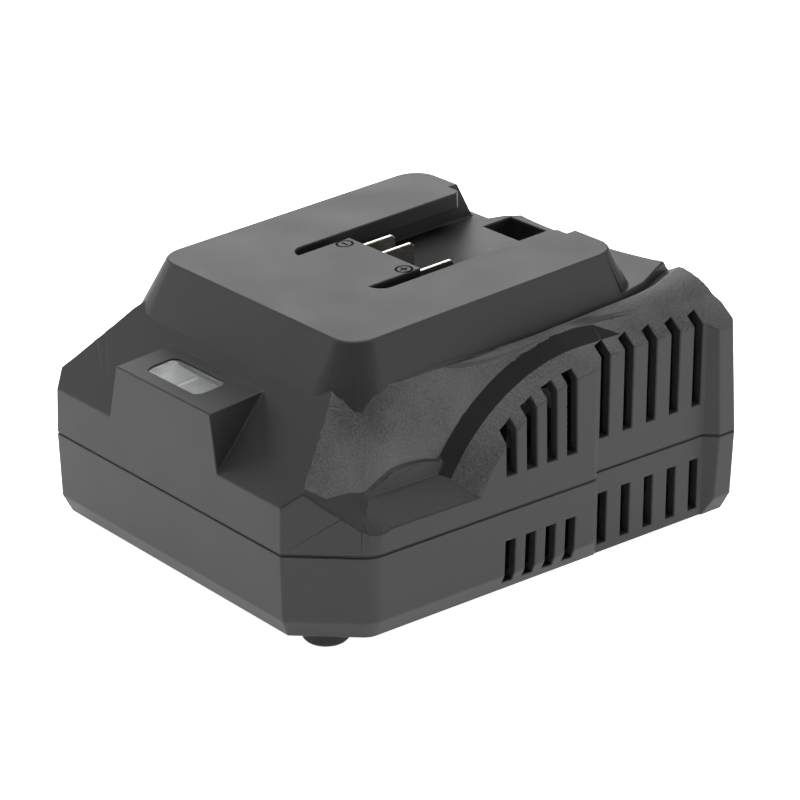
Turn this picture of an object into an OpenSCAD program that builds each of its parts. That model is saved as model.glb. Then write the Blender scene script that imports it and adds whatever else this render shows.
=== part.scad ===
// Slide-pack battery charger for cordless tools.
// Frame: +Z up, the front (indicator side) faces -Y, the pack slides on from +Y.
// Origin: centre of the footprint, on the plane that the rubber feet rest on.
// Inside the modules y runs back from the front face and z up from the parting line.

/* [Case] */
// Width of the case across the two air grilles
case_w = 115; // [104:1:126]
// Length of the case from front face to rear face
case_l = 127; // [126:0.5:136]
// Depth of the lower shell under the parting line
lower_h = 21; // [20:0.5:26]
// Wall thickness of both shells
wall = 2.5; // [2:0.1:2.8]
// Front corner cut measured across the case
corner_x = 13.9; // [11:0.1:16]
// Front corner cut measured along the case
corner_y = 15; // [13:0.5:15.5]
// Radius where the front corner cut runs into the case side
corner_r = 7; // [4:0.5:9]
// Rear corner cut
corner_rear = 2; // [1:0.1:2.5]
// Height of the upright front band of the upper shell
band_h = 10.7; // [9.5:0.1:12]
// Rise per millimetre of the sloping hood front
hood_slope = 0.955; // [0.92:0.005:0.98]
// Height where the bottom bevel of the lower shell starts, over its floor
bevel_h = 4.5; // [3:0.1:6]
// Draft of the upper shell, inset at the height of the deck
draft_up = 0.9; // [0.4:0.1:1.2]
// Draft of the rear face of the upper shell, inset at the height of the deck
draft_rear = 1.9; // [1:0.1:2.5]
// Distance from the rear face to the rear edge of the deck, on the centre line
rear_top = 8.8; // [8:0.1:9.4]
// Fall per millimetre of the scoop behind the deck
rear_slope = 1.6; // [1.2:0.1:2]
// Plan radius of the scoop behind the deck
rear_r = 120; // [110:5:160]
// Width of the notch over the mains inlet
notch_w = 30; // [28:0.5:31]
// Distance from the rear face to the front edge of the notch
notch_y = 15; // [14:0.1:16]
// Draft of the lower shell between the parting line and the bevel
draft_in = 0.5; // [0.3:0.05:0.8]
// Inset of the bottom face from the parting line
bevel_in = 2.6; // [2:0.1:2.6]
// Width of the locating lip between the shells
lip_t = 1.1; // [0.8:0.05:1.2]
// Height of the locating lip
lip_h = 1.6; // [1:0.1:2.2]

/* [Dock] */
// Distance from the front face to the top front edge of the dock
dock_y = 25.4; // [24:0.1:27]
// Width of the dock at its top face
dock_w = 74; // [70:0.5:76]
// Length of the dock at its top face
dock_l = 80; // [76:0.5:82]
// Height of the dock top face over the deck
dock_rise = 9.6; // [9:0.1:11]
// Height of the deck at the front of the dock, over the parting line
deck_z = 30.7; // [30:0.1:32]
// Backward rise of deck and dock top, in degrees
dock_tilt = 3.32; // [2.5:0.01:4]
// Draft of the dock walls, in degrees
dock_draft = 25; // [20:0.5:28]
// Draft of the front wall of the dock, in degrees
front_draft = 33; // [30:0.5:34]
// Corner radius of the dock at its top face
dock_r = 6.5; // [5:0.1:8]
// Gap between the two guide lips
channel_w = 34; // [32:0.5:36]
// Width between the side walls of the two undercut grooves
groove_w = 43; // [41:0.5:45]
// Thickness of the guide lips
lip_rail_t = 4.2; // [3.5:0.1:5]
// Distance from the front face to the closed end of the channel
channel_y = 49.5; // [47:0.5:52]
// Width of the contact tongue between the two slots
tongue_w = 26.6; // [25.6:0.1:27.6]
// Distance from the front face to the rear edge of the contact tongue
tongue_y = 64.8; // [62:0.1:66]
// Distance from the rear end of the dock to the straight end of the guide lips
lead_in = 4; // [3:0.1:5]
// Chamfer at the rear end of the guide lips
lead_chamfer = 1.4; // [1:0.1:2]
// Width of the latch pocket
pocket_w = 28; // [24:0.5:29]
// Distance from the front face to the latch pocket
pocket_y = 107.5; // [106.5:0.1:108]
// Length of the latch pocket
pocket_l = 8.7; // [7.5:0.1:9]
// Depth of the latch pocket
pocket_d = 8; // [6:0.5:10]

/* [Shoulders and fenders] */
// Distance from the front face to the centre of the fender arch
arch_y = 80; // [79:0.1:81]
// Depth of the arch centre under the parting line
arch_z = 12.9; // [12:0.1:14]
// Radius of the fold where the fender side turns into its chamfer
fold_r = 38.9; // [38:0.1:40]
// Height of the fender chamfer, measured on the arch radius
fender_rise = 4.9; // [4:0.1:5.5]
// Width of the fender chamfer
fender_in = 6.1; // [5.5:0.1:6.6]
// Radius of the arch rim under the shoulder
rim_r = 47.5; // [46.5:0.1:48.5]
// Inset of the arch rim from the case side
rim_in = 8.9; // [8.5:0.1:9.4]
// Inset of the foot of the shoulder wall from the case side
brow_in = 8; // [7.5:0.1:8.4]
// Height of the side ledge at the case side, over the parting line
ledge_z = 5.3; // [5:0.1:7]
// Rise of the side ledge towards the shoulder wall
ledge_rise = 4.7; // [3:0.1:5.5]
// Distance from the front face to the inner front end of the ledge
ledge_y = 19.8; // [19:0.1:21]
// Distance from the front face to the outer front end of the ledge
ledge_front = 12.2; // [11:0.1:14]

/* [Air slots] */
// Depth of the recessed panel behind the fender arch
recess_d = 2.9; // [2.8:0.1:3.4]
// Distance from the front face to the front end of the recessed panel
recess_y = 80.3; // [79.5:0.1:81]
// Distance from the rear face to the rear end of the recessed panel
recess_rear = 7; // [6.5:0.1:8]
// Number of air slots in the fender arch
slots_front = 4; // [3:1:4]
// Width of the air slots in the fender arch
slot_front_w = 3; // [2:0.1:3.4]
// Spacing of the air slots in the fender arch
slot_front_pitch = 6.06; // [5.6:0.01:6.4]
// Distance from the front face to the first air slot
slot_front_y = 53.4; // [52.5:0.1:54]
// Number of air slots in the recessed panel
slots_rear = 5; // [3:1:5]
// Width of the air slots in the recessed panel
slot_rear_w = 2.75; // [2:0.05:3.2]
// Spacing of the air slots in the recessed panel
slot_rear_pitch = 7.37; // [6.8:0.01:7.5]
// Height of the lower end of the upper air slots, over the parting line
slot_z = 8.2; // [7:0.1:10]
// Depth of the upper end of the lower front air slots, under the parting line
slot_low_front = 7.85; // [6:0.05:9]
// Depth of the upper end of the lower rear air slots, under the parting line
slot_low_rear = 5.85; // [5:0.05:8]
// Height of the lower end of the lower air slots, over the case floor
slot_foot = 2.3; // [2:0.1:4]

/* [Indicator] */
// Sideways offset of the indicator housing
lamp_x = -0.6; // [-1:0.1:0]
// Half width of the indicator housing at its foot
lamp_foot = 21; // [20.3:0.1:22]
// Half width of the indicator housing at its top front edge
lamp_top = 18.1; // [17:0.1:18.8]
// Height of the top front edge of the indicator housing
lamp_z = 24.4; // [23.5:0.1:25]
// Backward rise of the indicator housing per millimetre
lamp_rise = 0.1; // [0.05:0.01:0.15]
// Sideways offset of the indicator window
window_x = -2.2; // [-3:0.1:0]
// Width of the indicator window
window_w = 20; // [18:0.1:21]
// Length of the indicator window
window_l = 8.3; // [7:0.1:9]
// Distance from the front face to the window centre
window_y = 8.5; // [8:0.1:9]
// Corner radius of the window
window_r = 1.9; // [1:0.1:2.5]
// Width of the flange that holds the window from inside
window_flange = 1; // [0.6:0.1:1.2]

/* [Contacts] */
// Thickness of the contact blades
blade_t = 0.9; // [0.7:0.05:1.1]
// Length of the contact blades behind the tongue
blade_l = 11.7; // [10:0.1:13]
// Depth of the blade tops under the dock top
blade_drop = 1.85; // [1.5:0.05:2.5]
// Sideways place of the negative blade
blade_neg_x = -11; // [-11.2:0.1:-10]
// Sideways place of the signal blade
blade_sig_x = -4; // [-5:0.1:0]
// Sideways place of the positive blade
blade_pos_x = 10.7; // [10:0.1:11.2]
// Wall thickness of the contact tongue
tongue_wall = 1.4; // [1.2:0.05:1.5]

/* [Feet and screws] */
// Diameter of the rubber feet
foot_d = 10.8; // [9:0.1:11]
// Height of the rubber feet under the case floor
foot_h = 3.2; // [2.5:0.1:4]
// Depth of the seats of the feet
foot_seat = 1; // [0.6:0.1:1.2]
// Distance of the feet from the case sides
foot_in = 14; // [13.5:0.5:15.5]
// Distance of the feet from the front and rear faces
foot_y = 12.5; // [12:0.5:14]
// Distance of the case screws from the case sides
screw_in = 14.3; // [14.2:0.1:14.9]
// Distance of the front case screws from the front face
screw_y = 30; // [28:0.5:32]
// Distance of the rear case screws from the rear face
screw_rear = 23; // [22.5:0.1:24]
// Diameter of the screw bosses
boss_d = 7; // [6.4:0.1:7]
// Thread diameter of the case screws
screw_d = 3; // [2.6:0.1:3.2]
// Depth of the screw heads over the underside of the case
screw_sink = 4.5; // [4:0.1:5]

/* [Electronics] */
// Distance from the case side to the board
board_side = 18.5; // [18.3:0.1:20.5]
// Distance from the rear face to the board
board_rear = 23; // [22:0.5:24]
// Thickness of the circuit boards
board_t = 1.6; // [1.2:0.1:2]
// Height of the main board over the inner floor
board_gap = 7; // [6:0.1:7.5]
// Diameter of the mains capacitor
bulk_d = 18; // [16:0.5:19]
// Height of the mains capacitor
bulk_h = 25; // [20:0.5:27]
// Diameter of the output capacitors
out_cap_d = 10; // [8:0.5:11]
// Height of the output capacitors
out_cap_h = 20; // [16:0.5:24]
// Length of the transformer core
core_l = 34; // [32:0.5:35]
// Width of the transformer core
core_w = 30; // [28:0.5:31]
// Thickness of the transformer core
core_t = 11; // [9:0.5:12]
// Outer diameter of the ring choke
choke_d = 17; // [15:0.5:18]
// Thickness of the ring choke core
choke_t = 7; // [5:0.5:8]
// Height of the heatsink
sink_h = 24; // [20:0.5:26]
// Number of heatsink fins
sink_fins = 6; // [4:1:7]
// Width of the mains inlet
inlet_w = 20; // [18:0.5:22]
// Distance from the case side to the middle of the inlet
inlet_side = 29.5; // [29:0.5:30.5]
// Height of the mains inlet
inlet_h = 11; // [10:0.5:11.5]
// Depth of the mains inlet
inlet_d = 15; // [13:0.5:16]

/* [Hidden] */
$fn = 48;

// Clearances
slip = 0.1;
fit = 0.05;
cut = 1;
far = 20;

// Case
half_w = case_w / 2;
base_z = lower_h + foot_h;
hood_pitch = sqrt(1 + pow(hood_slope, 2));
corner_turn = atan2(corner_y, corner_x);
tilt = tan(dock_tilt);

// Dock
dock_z = deck_z + dock_rise;
dock_root = 4.4;
dock_depth = dock_rise + dock_root;
dock_flare = tan(dock_draft);
slot_end_r = (channel_w - tongue_w) / 2;
pocket_end = pocket_y + pocket_l;

// Shoulder wall and fender
brow_x = half_w - brow_in;
rim_x = half_w - rim_in;
fender_pitch = sqrt(1 + pow(fender_rise / fender_in, 2));
fender_r = fold_r + fender_rise;
fender_x = half_w - fender_in;
foot_x = half_w - foot_in;
screw_x = half_w - screw_in;
fender_root = screw_x - 6;
shoulder_pitch = 1.12;
side_pitch = 0.4;
valley_edge = 0.8;

// Air slots
slot_rise = 2.3;
slot_skew = 0.6;
slot_rear_y = recess_y + recess_d + 0.7;
slot_front_x = screw_x + boss_d / 2 + 4;
slot_rear_x = screw_x + boss_d / 2 + slip;
slot_low_x = half_w - 2 * wall - bevel_in;

// Stations along the case: distance from the front, inset of the crest from the side
crest_in = [
  [-6, 29], [4, 25.6], [9, 23.4], [15, 21], [19.5, 19.7], [23.4, 18.6], [27.5, 16.7],
  [33, 15.9], [41, 15.4], [49, 14.4], [57, 13.7], [66, 13.4], [93, 13.4],
  [case_l - 17, 14.5], [case_l - 5, 19.3], [case_l + 4, 22]
];
// Distance from the front, height of the crest over the deck
crest_up = [
  [-6, -2.2], [15, -2], [19.5, -1.8], [23.4, -1.3], [27.5, -0.4], [32, -0.2], [57, -0.2],
  [68, 0], [80, 0], [93, 0.3], [case_l - 17, 0], [case_l - 5, -0.5], [case_l + 4, -1.2]
];
// Distance from the front, height of the brow edge over the front band
brow_up = [
  [-6, 1.9], [8, 2], [15, 1.6], [19.5, 0.7], [23.5, 2.6], [27, 4], [31, 4.3], [36, 3.8],
  [41, 2.4], [48, 0]
];
// Distance from the front, fall of the surface from the brow to the case side
brow_fall = [[-6, 7.6], [8, 7.8], [15, 7], [21, 5.4], [28, 4], [40, 2], [case_l + 6, 0]];
// Distance from the front, outward swell of the shoulder
swell = [
  [-6, 0.2], [3, 0.4], [8, 1], [15, 1], [22, 1.2], [32, 1.6], [44, 1.3], [56, 0.8], [68, 0.2],
  [90, 0.4], [case_l - 5, 0.9], [case_l + 6, 0.9]
];
// Distance from the front, depth of the valley beside the dock
valley_d = [
  [-6, 0], [44, 0], [50, 0.5], [60, 1.2], [90, 1.5], [case_l - 19, 1.9],
  [case_l - 5, 2.4], [case_l + 6, 2.4]
];
// Distance from the front, gap from the crest to the valley bottom
valley_in = [
  [-6, 3], [46, 2.2], [60, 1.9], [90, 2.2], [case_l - 19, 2.3], [case_l - 5, 3.5],
  [case_l + 6, 3.5]
];

// Lower shell
floor_z = -lower_h + wall;
board_z = floor_z + board_gap;
top_z = board_z + board_t;
seam = 0.35;
counter_z = -lower_h + screw_sink;
head_d = 5.6;
head_h = 2;
counter_d = 6.5;
sink_d = counter_d + 3.5;
boss_top = lip_h + cut;
front_boss_z = band_h + 5;
rear_boss_z = rim(case_l - screw_rear) - 1;
thread_top = 9;
stem_d = 4;
stem_bulb = 5.2;

// Main board
board_y = 12;
board_end = case_l - board_rear;
board_l = board_end - board_y;
board_w = case_w - 2 * board_side;
board_edge = 4;
peg_x = board_w / 2 - 3;
peg_y = [board_y + board_edge, board_end - board_edge];
peg_d = 6;
pin_screw_d = 2.5;
pin_screw_l = 7;
core_x = 6;
core_y = 41;
core_foot = 8.5;
core_leg = 5;
core_side = core_leg;
core_mid = top_z + core_foot + core_t / 2;
bobbin_t = 1;
sink_x = 32;
sink_y = board_end - 46;
sink_l = 32;
sink_t = 2.5;
fin_l = 6.5;
fin_t = 1.2;
device_w = 10;

// Indicator parts
led_z = 14;
led_y = 3.7;
led_l = 12.4;
led_post_x = window_w / 2 + window_flange + 2;
led_half = led_post_x + 1.8;
flange_t = 1.2;
flange_drop = wall + slip + flange_t;
led_x = window_w / 4;

// Mains inlet
inlet_x = inlet_side - half_w;
notch_x = -32.5;
notch_side = 1.5;
notch_bend = 4;
notch_end = 6.5;
inlet_z = -8;
inlet_end = case_l - 0.8;
inlet_cavity = 12;
pin_d = 2.4;
pin_gap = 8.6;

// Contacts, in the tilted frame of the dock
tongue_end = tongue_y - dock_y;
blade_low = -dock_rise + slip;
blade_from = tongue_end - 9;
block_from = tongue_end - 12;
block_to = tongue_end - tongue_wall - slip;
block_low = -dock_depth;
tail_y = blade_from + 1;
tail_w = 3;
tail_low = block_low - 3;
lead_d = 1.8;

// Places the case frame in the part frame.
module place() {
  translate([0, -case_l / 2, base_z]) children();
}

// Repeats a form on both sides of the case.
module both_sides() {
  children();
  mirror([1, 0, 0]) children();
}

// Runs a profile drawn in (y, z) across the case from x = x0 over a width w.
module across(x0, w) {
  translate([x0, 0, 0]) rotate([90, 0, 90]) linear_extrude(w) children();
}

// Carries a form into the tilted frame of the dock top.
module on_dock() {
  translate([0, dock_y, dock_z]) rotate([dock_tilt, 0, 0]) children();
}

// Height of the deck at a distance from the front.
function deck(y) = deck_z + tilt * (y - dock_y);

// Height of the indicator housing top at a distance from the front.
function lamp(y) = lamp_z + lamp_rise * y;

// Smooth curve through stations [place, value].
function seat(t, y, i = 0) = i >= len(t) - 2 || y < t[i + 1][0] ? i : seat(t, y, i + 1);
function steep(t, i) =
  let (a = max(i - 1, 0), b = min(i + 1, len(t) - 1)) (t[b][1] - t[a][1]) / (t[b][0] - t[a][0]);
function curve(t, y) =
  let (
    i = seat(t, y),
    h = t[i + 1][0] - t[i][0],
    u = (y - t[i][0]) / h
  )
  (2 * u * u * u - 3 * u * u + 1) * t[i][1]
  + (u * u * u - 2 * u * u + u) * h * steep(t, i)
  + (3 * u * u - 2 * u * u * u) * t[i + 1][1]
  + (u * u * u - u * u) * h * steep(t, i + 1);

// Height of the arch rim: a circle in front of the arch centre, a falling line behind it.
function rim(y) =
  y < arch_y
    ? sqrt(max(0, rim_r * rim_r - pow(arch_y - y, 2))) - arch_z
    : rim_r - arch_z - tilt * (y - arch_y);

// Height of the lower edge of the shoulder.
function brow(y) = y < 48 ? max(band_h + curve(brow_up, y), rim(y)) : rim(y);

// Right half outline of the case: sides and front inset by t, rear by u, recessed panel by w.
function plan(t, u, w) =
  let (
    a = t * tan(corner_turn / 2),
    b = t * tan((90 - corner_turn) / 2),
    turn = 90 - corner_turn,
    r = max(0.5, corner_r - t),
    q = [half_w - t - r, corner_y + b + r * tan(turn / 2)],
    k = tan(22.5),
    x = half_w - recess_d - w,
    y0 = recess_y + recess_d - k * w,
    y1 = case_l - recess_rear - recess_d + k * w,
    s = half_w - t - x,
    c = max(0.4, corner_rear - 2 * t * (1 - cos(45)))
  )
  concat(
    [[half_w - corner_x - a, t]],
    [for (i = [0:6]) let (g = -turn * (1 - i / 6)) [q[0] + r * cos(g), q[1] + r * sin(g)]],
    [[half_w - t, y0 - s], [x, y0], [x, y1], [half_w - t, y1 + s]],
    [[half_w - t, case_l - u - c]],
    [[half_w - t - c, case_l - u]]
  );

// Closed outline from the right half.
function mirrored(half) =
  concat(half, [for (i = [len(half) - 1:-1:0]) [-half[i][0], half[i][1]]]);

// Case outline inset by t.
module plan2d(t) {
  polygon(mirrored(plan(t, t, t)));
}

// Solid through plan outlines stacked at [height, inset, rear inset, inset of the recess].
module stack(levels) {
  n = 2 * len(plan(0, 0, 0));
  m = len(levels);
  points = [for (l = levels, p = mirrored(plan(l[1], l[2], l[3]))) [p[0], p[1], l[0]]];
  sides = [
    for (k = [0:m - 2], i = [0:n - 1])
      let (j = (i + 1) % n) [k * n + i, (k + 1) * n + i, (k + 1) * n + j, k * n + j]
  ];
  top = (m - 1) * n;
  caps = [
    for (i = [0:n / 2 - 2])
      let (a = [i, i + 1, n - 2 - i, n - 1 - i])
        each [a, [for (j = [3:-1:0]) top + a[j]]]
  ];
  polyhedron(points, concat(sides, caps));
}

// Half section of the hood across the case at a distance y, inset by t.
function hood_half(y, t) =
  let (
    drop = shoulder_pitch * t,
    xc = half_w - curve(crest_in, y) - side_pitch * t,
    zc = deck(y) + curve(crest_up, y) - drop,
    xe = rim_x - side_pitch * t,
    ze = brow(y) - 0.1 - drop,
    xv = xc - curve(valley_in, y),
    zv = deck(y) - curve(valley_d, y) - drop,
    run = sqrt(pow(xe - xc, 2) + pow(zc - ze, 2)),
    s = curve(swell, y),
    nx = (zc - ze) / run,
    nz = (xe - xc) / run,
    fall = curve(brow_fall, y) / brow_in,
    behind = y >= arch_y,
    xf = fender_x - side_pitch * t,
    zf = behind ? fender_r - arch_z - drop : ze - fall * (xf - xe),
    dive = behind ? 3 : fall
  )
  [
    [0, deck(y) - drop],
    [xv - valley_edge, deck(y) - drop],
    [xv, zv],
    [xc, zc],
    for (i = [1:5])
      let (u = i / 6, b = 4 * u * (1 - u) * s)
        [xc + (xe - xc) * u + b * nx, zc + (ze - zc) * u + b * nz],
    [xe, ze],
    [xf, zf],
    [xf + 1, zf - dive],
    [half_w + 4, zf - (behind ? 10 : fall * (half_w + 4 - xf))],
    [half_w + 4, -wall - cut]
  ];

// Loft of the deck and both shoulders, inset by t: ring spacing p over the front shoulder,
// wider before it and over the fender.
module hood_loft(p, t) {
  dense = [9, 47];
  places = concat(
    [-3, 1, 5],
    [for (y = [dense[0]:p:dense[1]]) y],
    [for (i = [1:8]) dense[1] + (arch_y - dense[1]) * i / 8],
    [for (i = [1:8]) arch_y + (case_l + 3 - arch_y) * i / 8]
  );
  rings = [
    for (y = places)
      let (h = hood_half(y, t), k = len(h))
        concat(
          [for (p = h) [p[0], y, p[1]]],
          [for (j = [k - 1:-1:1]) [-h[j][0], y, h[j][1]]]
        )
  ];
  r = len(rings[0]);
  faces = [
    for (i = [0:len(rings) - 2], j = [0:r - 1])
      let (a = i * r + j, b = i * r + (j + 1) % r, c = b + r, d = a + r)
        each [[a, c, b], [a, d, c]]
  ];
  e = len(rings) * r;
  centre = [for (q = [rings[0], rings[len(rings) - 1]]) [0, q[0][1], 0]];
  caps = [
    for (j = [0:r - 1])
      each [
        [e, j, (j + 1) % r],
        [e + 1, e - r + (j + 1) % r, e - r + j]
      ]
  ];
  polyhedron(concat([for (q = rings, p = q) p], centre), concat(faces, caps));
}

// Notch over the mains inlet: its floor falls to the rear like the scoop.
module notch(t) {
  y0 = case_l - notch_y - t;
  w = notch_w / 2 + t;
  intersection() {
    translate([notch_x, 0, 0]) linear_extrude(3 * far)
      polygon([
        [-w, y0], [w, y0], [w + notch_side, y0 + notch_bend],
        [w + notch_bend, y0 + notch_end], [w + notch_bend, case_l + far], [-w, case_l + far]
      ]);
    across(-half_w, case_w)
      polygon([
        [y0 - far, deck(y0) + far * rear_slope],
        [y0 + far, deck(y0) - far * rear_slope],
        [y0 + far, 3 * far],
        [y0 - far, 3 * far]
      ]);
  }
}

// Envelope of the hood: sloping front, and a conical scoop at the rear.
module slopes(t) {
  top = deck(case_l) + far;
  z0 = band_h - t * hood_pitch;
  y1 = case_l - rear_top;
  r = rear_r + t * sqrt(1 + 1 / pow(rear_slope, 2));
  difference() {
    across(-half_w - cut, case_w + 2 * cut)
      polygon([
        [-cut, -wall - cut],
        [-cut, z0 - hood_slope * cut],
        [(top - z0) / hood_slope, top],
        [case_l + cut, top],
        [case_l + cut, -wall - cut]
      ]);
    translate([0, y1 + rear_r, -far])
      cylinder(
        h = top + 2 * far,
        r1 = r - (deck(y1) + far) / rear_slope,
        r2 = r + (top + far - deck(y1)) / rear_slope,
        $fn = 360
      );
    notch(t);
  }
}

// Space over the side ledge, outside the leaning shoulder wall.
module over_ledge(t) {
  lean = (brow_in - rim_in) / (rim_r - arch_z - band_h);
  slope = ledge_rise / brow_in;
  z0 = ledge_z + ledge_rise - t * sqrt(1 + slope * slope);
  x0 = brow_x - t;
  intersection() {
    rotate([90, 0, 0]) translate([0, 0, -arch_y]) linear_extrude(arch_y)
      polygon([
        [x0, z0],
        [x0 + far, z0 - slope * far],
        [x0 + far, z0 + 3 * far],
        [x0 + lean * (3 * far + z0 - band_h), z0 + 3 * far]
      ]);
    translate([0, 0, -far]) linear_extrude(5 * far)
      polygon([
        [half_w + far, ledge_front - t - far * (ledge_y - ledge_front) / brow_in],
        [half_w - brow_in - far, ledge_y - t + far * (ledge_y - ledge_front) / brow_in],
        [half_w - brow_in - far, case_l + cut],
        [half_w + far, case_l + cut]
      ]);
  }
}

// Fender: section [radius, x] turned about the arch axis, then run straight to the rear.
module fender(t) {
  s = t * fender_pitch;
  x0 = fender_root;
  foot = [[0, x0], [0, half_w + cut], [fold_r - s, half_w + cut], [fold_r - s, half_w]];
  crown = [fender_r - s, fender_x];
  arch = concat(foot, [crown, [rim_r - s, rim_x], [rim_r - 4 - s, x0]]);
  straight = concat(foot, [crown, [fender_r - 1 - s, x0]]);
  translate([0, arch_y, -arch_z]) {
    intersection() {
      rotate([0, 90, 0]) rotate_extrude($fn = 96) polygon(arch);
      translate([0, -2 * rim_r, arch_z - wall - cut]) cube([case_w, 2 * rim_r, 2 * rim_r]);
    }
    translate([0, -fit, 0]) rotate([-90, 0, 0]) linear_extrude(case_l)
      polygon([for (p = straight) [p[1], -p[0]]]);
  }
}

// Indicator housing standing on the hood front.
module lamp_house(t) {
  side = (lamp_foot - lamp_top) / (lamp_z - band_h);
  x0 = lamp_foot + side * band_h - t;
  x1 = x0 - side * (lamp_z + 10);
  translate([lamp_x, 0, 0]) intersection() {
    across(-half_w, case_w) polygon([
      [-cut, -wall - cut],
      [-cut, lamp(-cut) - t],
      [far, lamp(far) - t],
      [far, -wall - cut]
    ]);
    rotate([90, 0, 0]) translate([0, 0, -far - cut]) linear_extrude(far + 2 * cut)
      polygon([[-x0, 0], [-x1, lamp_z + 10], [x1, lamp_z + 10], [x0, 0]]);
  }
}

// Dock block with drafted walls, inset by t, in the tilted frame.
module dock_block(t) {
  r = dock_r - t / 2;
  w = dock_w / 2 - t - r;
  s = t / cos(dock_draft);
  y0 = s + r;
  y1 = dock_l - s - r;
  lean = dock_depth * (tan(front_draft) - dock_flare);
  translate([0, 0, -s]) hull()
    for (x = [-w, w]) {
      for (y = [y0, y1]) translate([x, y, -slip]) cylinder(h = slip, r = r, $fn = 40);
      for (y = [y0 - lean, y1])
        translate([x, y, -dock_depth]) cylinder(h = slip, r = r + dock_depth * dock_flare, $fn = 40);
    }
}

// Channel between the guide lips in plan.
module channel2d() {
  w = channel_w / 2;
  g = groove_w / 2;
  y0 = channel_y - dock_y;
  y1 = dock_l - lead_in;
  c = lead_chamfer;
  difference() {
    polygon([
      [-w, y0], [w, y0], [w, y1], [w + c, y1 + c], [g, y1 + c], [g, dock_l + far],
      [-g, dock_l + far], [-g, y1 + c], [-w - c, y1 + c], [-w, y1]
    ]);
    translate([-tongue_w / 2, y0 - cut]) square([tongue_w, tongue_y - channel_y + cut]);
    both_sides() difference() {
      translate([w - slot_end_r, y0 - cut]) square([slot_end_r + cut, slot_end_r + cut]);
      translate([w - slot_end_r, y0 + slot_end_r]) circle(r = slot_end_r);
    }
  }
}

// Undercut grooves under the guide lips in plan.
module groove2d() {
  g = groove_w / 2;
  y0 = channel_y - dock_y + slot_end_r;
  difference() {
    translate([-g, y0]) square([2 * g, dock_l + far]);
    translate([-tongue_w / 2, y0 - cut]) square([tongue_w, tongue_end - y0 + cut]);
  }
}

// Dock: block with the channel and the undercut grooves taken out.
module dock_body() {
  on_dock() difference() {
    dock_block(0);
    translate([0, 0, -dock_depth - cut]) linear_extrude(dock_depth + 2 * cut) channel2d();
    translate([0, 0, -dock_depth - cut]) linear_extrude(dock_depth + cut - lip_rail_t) groove2d();
  }
}

// Hollow of the dock: the block inset by the wall, clear of channel and grooves.
module dock_hollow() {
  g = groove_w / 2 + wall;
  y0 = channel_y - dock_y - wall;
  on_dock() {
    difference() {
      dock_block(wall);
      translate([-g, y0, -dock_depth - far]) cube([2 * g, dock_l + far, dock_depth + 2 * far]);
    }
    translate([-tongue_w / 2 + tongue_wall, y0 - cut, -dock_rise - wall - cut])
      cube([tongue_w - 2 * tongue_wall, tongue_end - tongue_wall - y0 + cut, dock_rise + cut]);
  }
}

// Latch pocket behind the rails, grown by t.
module pocket(t) {
  translate([-pocket_w / 2 - t, pocket_y - t, deck(pocket_y) - pocket_d - t])
    cube([pocket_w + 2 * t, pocket_l + 2 * t, pocket_d + far]);
}

// Drafted plan of the upper shell with the recesses, inset by t.
module shell_plan(t) {
  z0 = t > 0 ? -cut : 0;
  k = 1.5;
  stack([
    [z0, t + z0 * draft_up / deck_z, t + z0 * draft_rear / deck_z, t],
    [k * deck_z, t + k * draft_up, t + k * draft_rear, t]
  ]);
}

// Body of the upper shell without the dock, inset by t.
module hood_body(t, p) {
  intersection() {
    shell_plan(t);
    union() {
      intersection() {
        union() {
          difference() {
            hood_loft(p, t);
            both_sides() over_ledge(t);
          }
          both_sides() fender(t);
        }
        slopes(t);
      }
      lamp_house(t);
    }
  }
}

// Air slot through the side, from z0 up to heights za and zb at its two edges.
module air_slot(y, w, z0, za, zb, x0) {
  across(x0, far) polygon([[y, z0], [y + w, z0], [y + w, zb], [y, za]]);
}

// Slots of the upper shell on one side.
module upper_slots() {
  r = fold_r + slot_rise;
  for (i = [0:slots_front - 1]) {
    y = slot_front_y + i * slot_front_pitch;
    za = sqrt(r * r - pow(arch_y - y, 2)) - arch_z;
    zb = sqrt(r * r - pow(arch_y - y - slot_front_w, 2)) - arch_z;
    air_slot(y, slot_front_w, slot_z, za, zb, slot_front_x);
  }
  z1 = fender_r - arch_z;
  for (i = [0:slots_rear - 1]) {
    y = slot_rear_y + i * slot_rear_pitch;
    air_slot(y, slot_rear_w, slot_z, z1 - slot_skew, z1, slot_rear_x);
  }
}

// Slots of the lower shell on one side.
module lower_slots() {
  z0 = -lower_h + slot_foot;
  za = -slot_low_front;
  zb = -slot_low_rear;
  for (i = [0:slots_front - 1])
    air_slot(slot_front_y + i * slot_front_pitch, slot_front_w, z0, za, za, slot_low_x);
  for (i = [0:slots_rear - 1])
    air_slot(slot_rear_y + i * slot_rear_pitch, slot_rear_w, z0, zb, zb, slot_low_x);
}

// Rectangle with rounded corners around the origin.
module rounded2d(w, l, r) {
  square([w - 2 * r, l], center = true);
  square([w, l - 2 * r], center = true);
  for (x = [r - w / 2, w / 2 - r], y = [r - l / 2, l / 2 - r]) translate([x, y]) circle(r = r);
}

// Window outline, grown by t.
module window2d(t) {
  translate([window_x, window_y])
    rounded2d(window_w + 2 * t, window_l + 2 * t, window_r + t);
}

// Slab under the sloping top of the indicator housing, between two depths.
module lamp_layer(d0, d1) {
  across(-half_w, case_w)
    polygon([
      [-cut, lamp(-cut) - d1], [far, lamp(far) - d1],
      [far, lamp(far) - d0], [-cut, lamp(-cut) - d0]
    ]);
}

// Repeats a form at the four case screws.
module at_screws() {
  for (x = [-screw_x, screw_x], y = [screw_y, case_l - screw_rear]) translate([x, y, 0]) children();
}

// Repeats a form at the four board screws.
module at_pegs() {
  for (x = [-peg_x, peg_x], y = peg_y) translate([x, y, 0]) children();
}

// Repeats a form at the four feet.
module at_feet() {
  for (x = [-foot_x, foot_x], y = [foot_y, case_l - foot_y]) translate([x, y, 0]) children();
}

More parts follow.
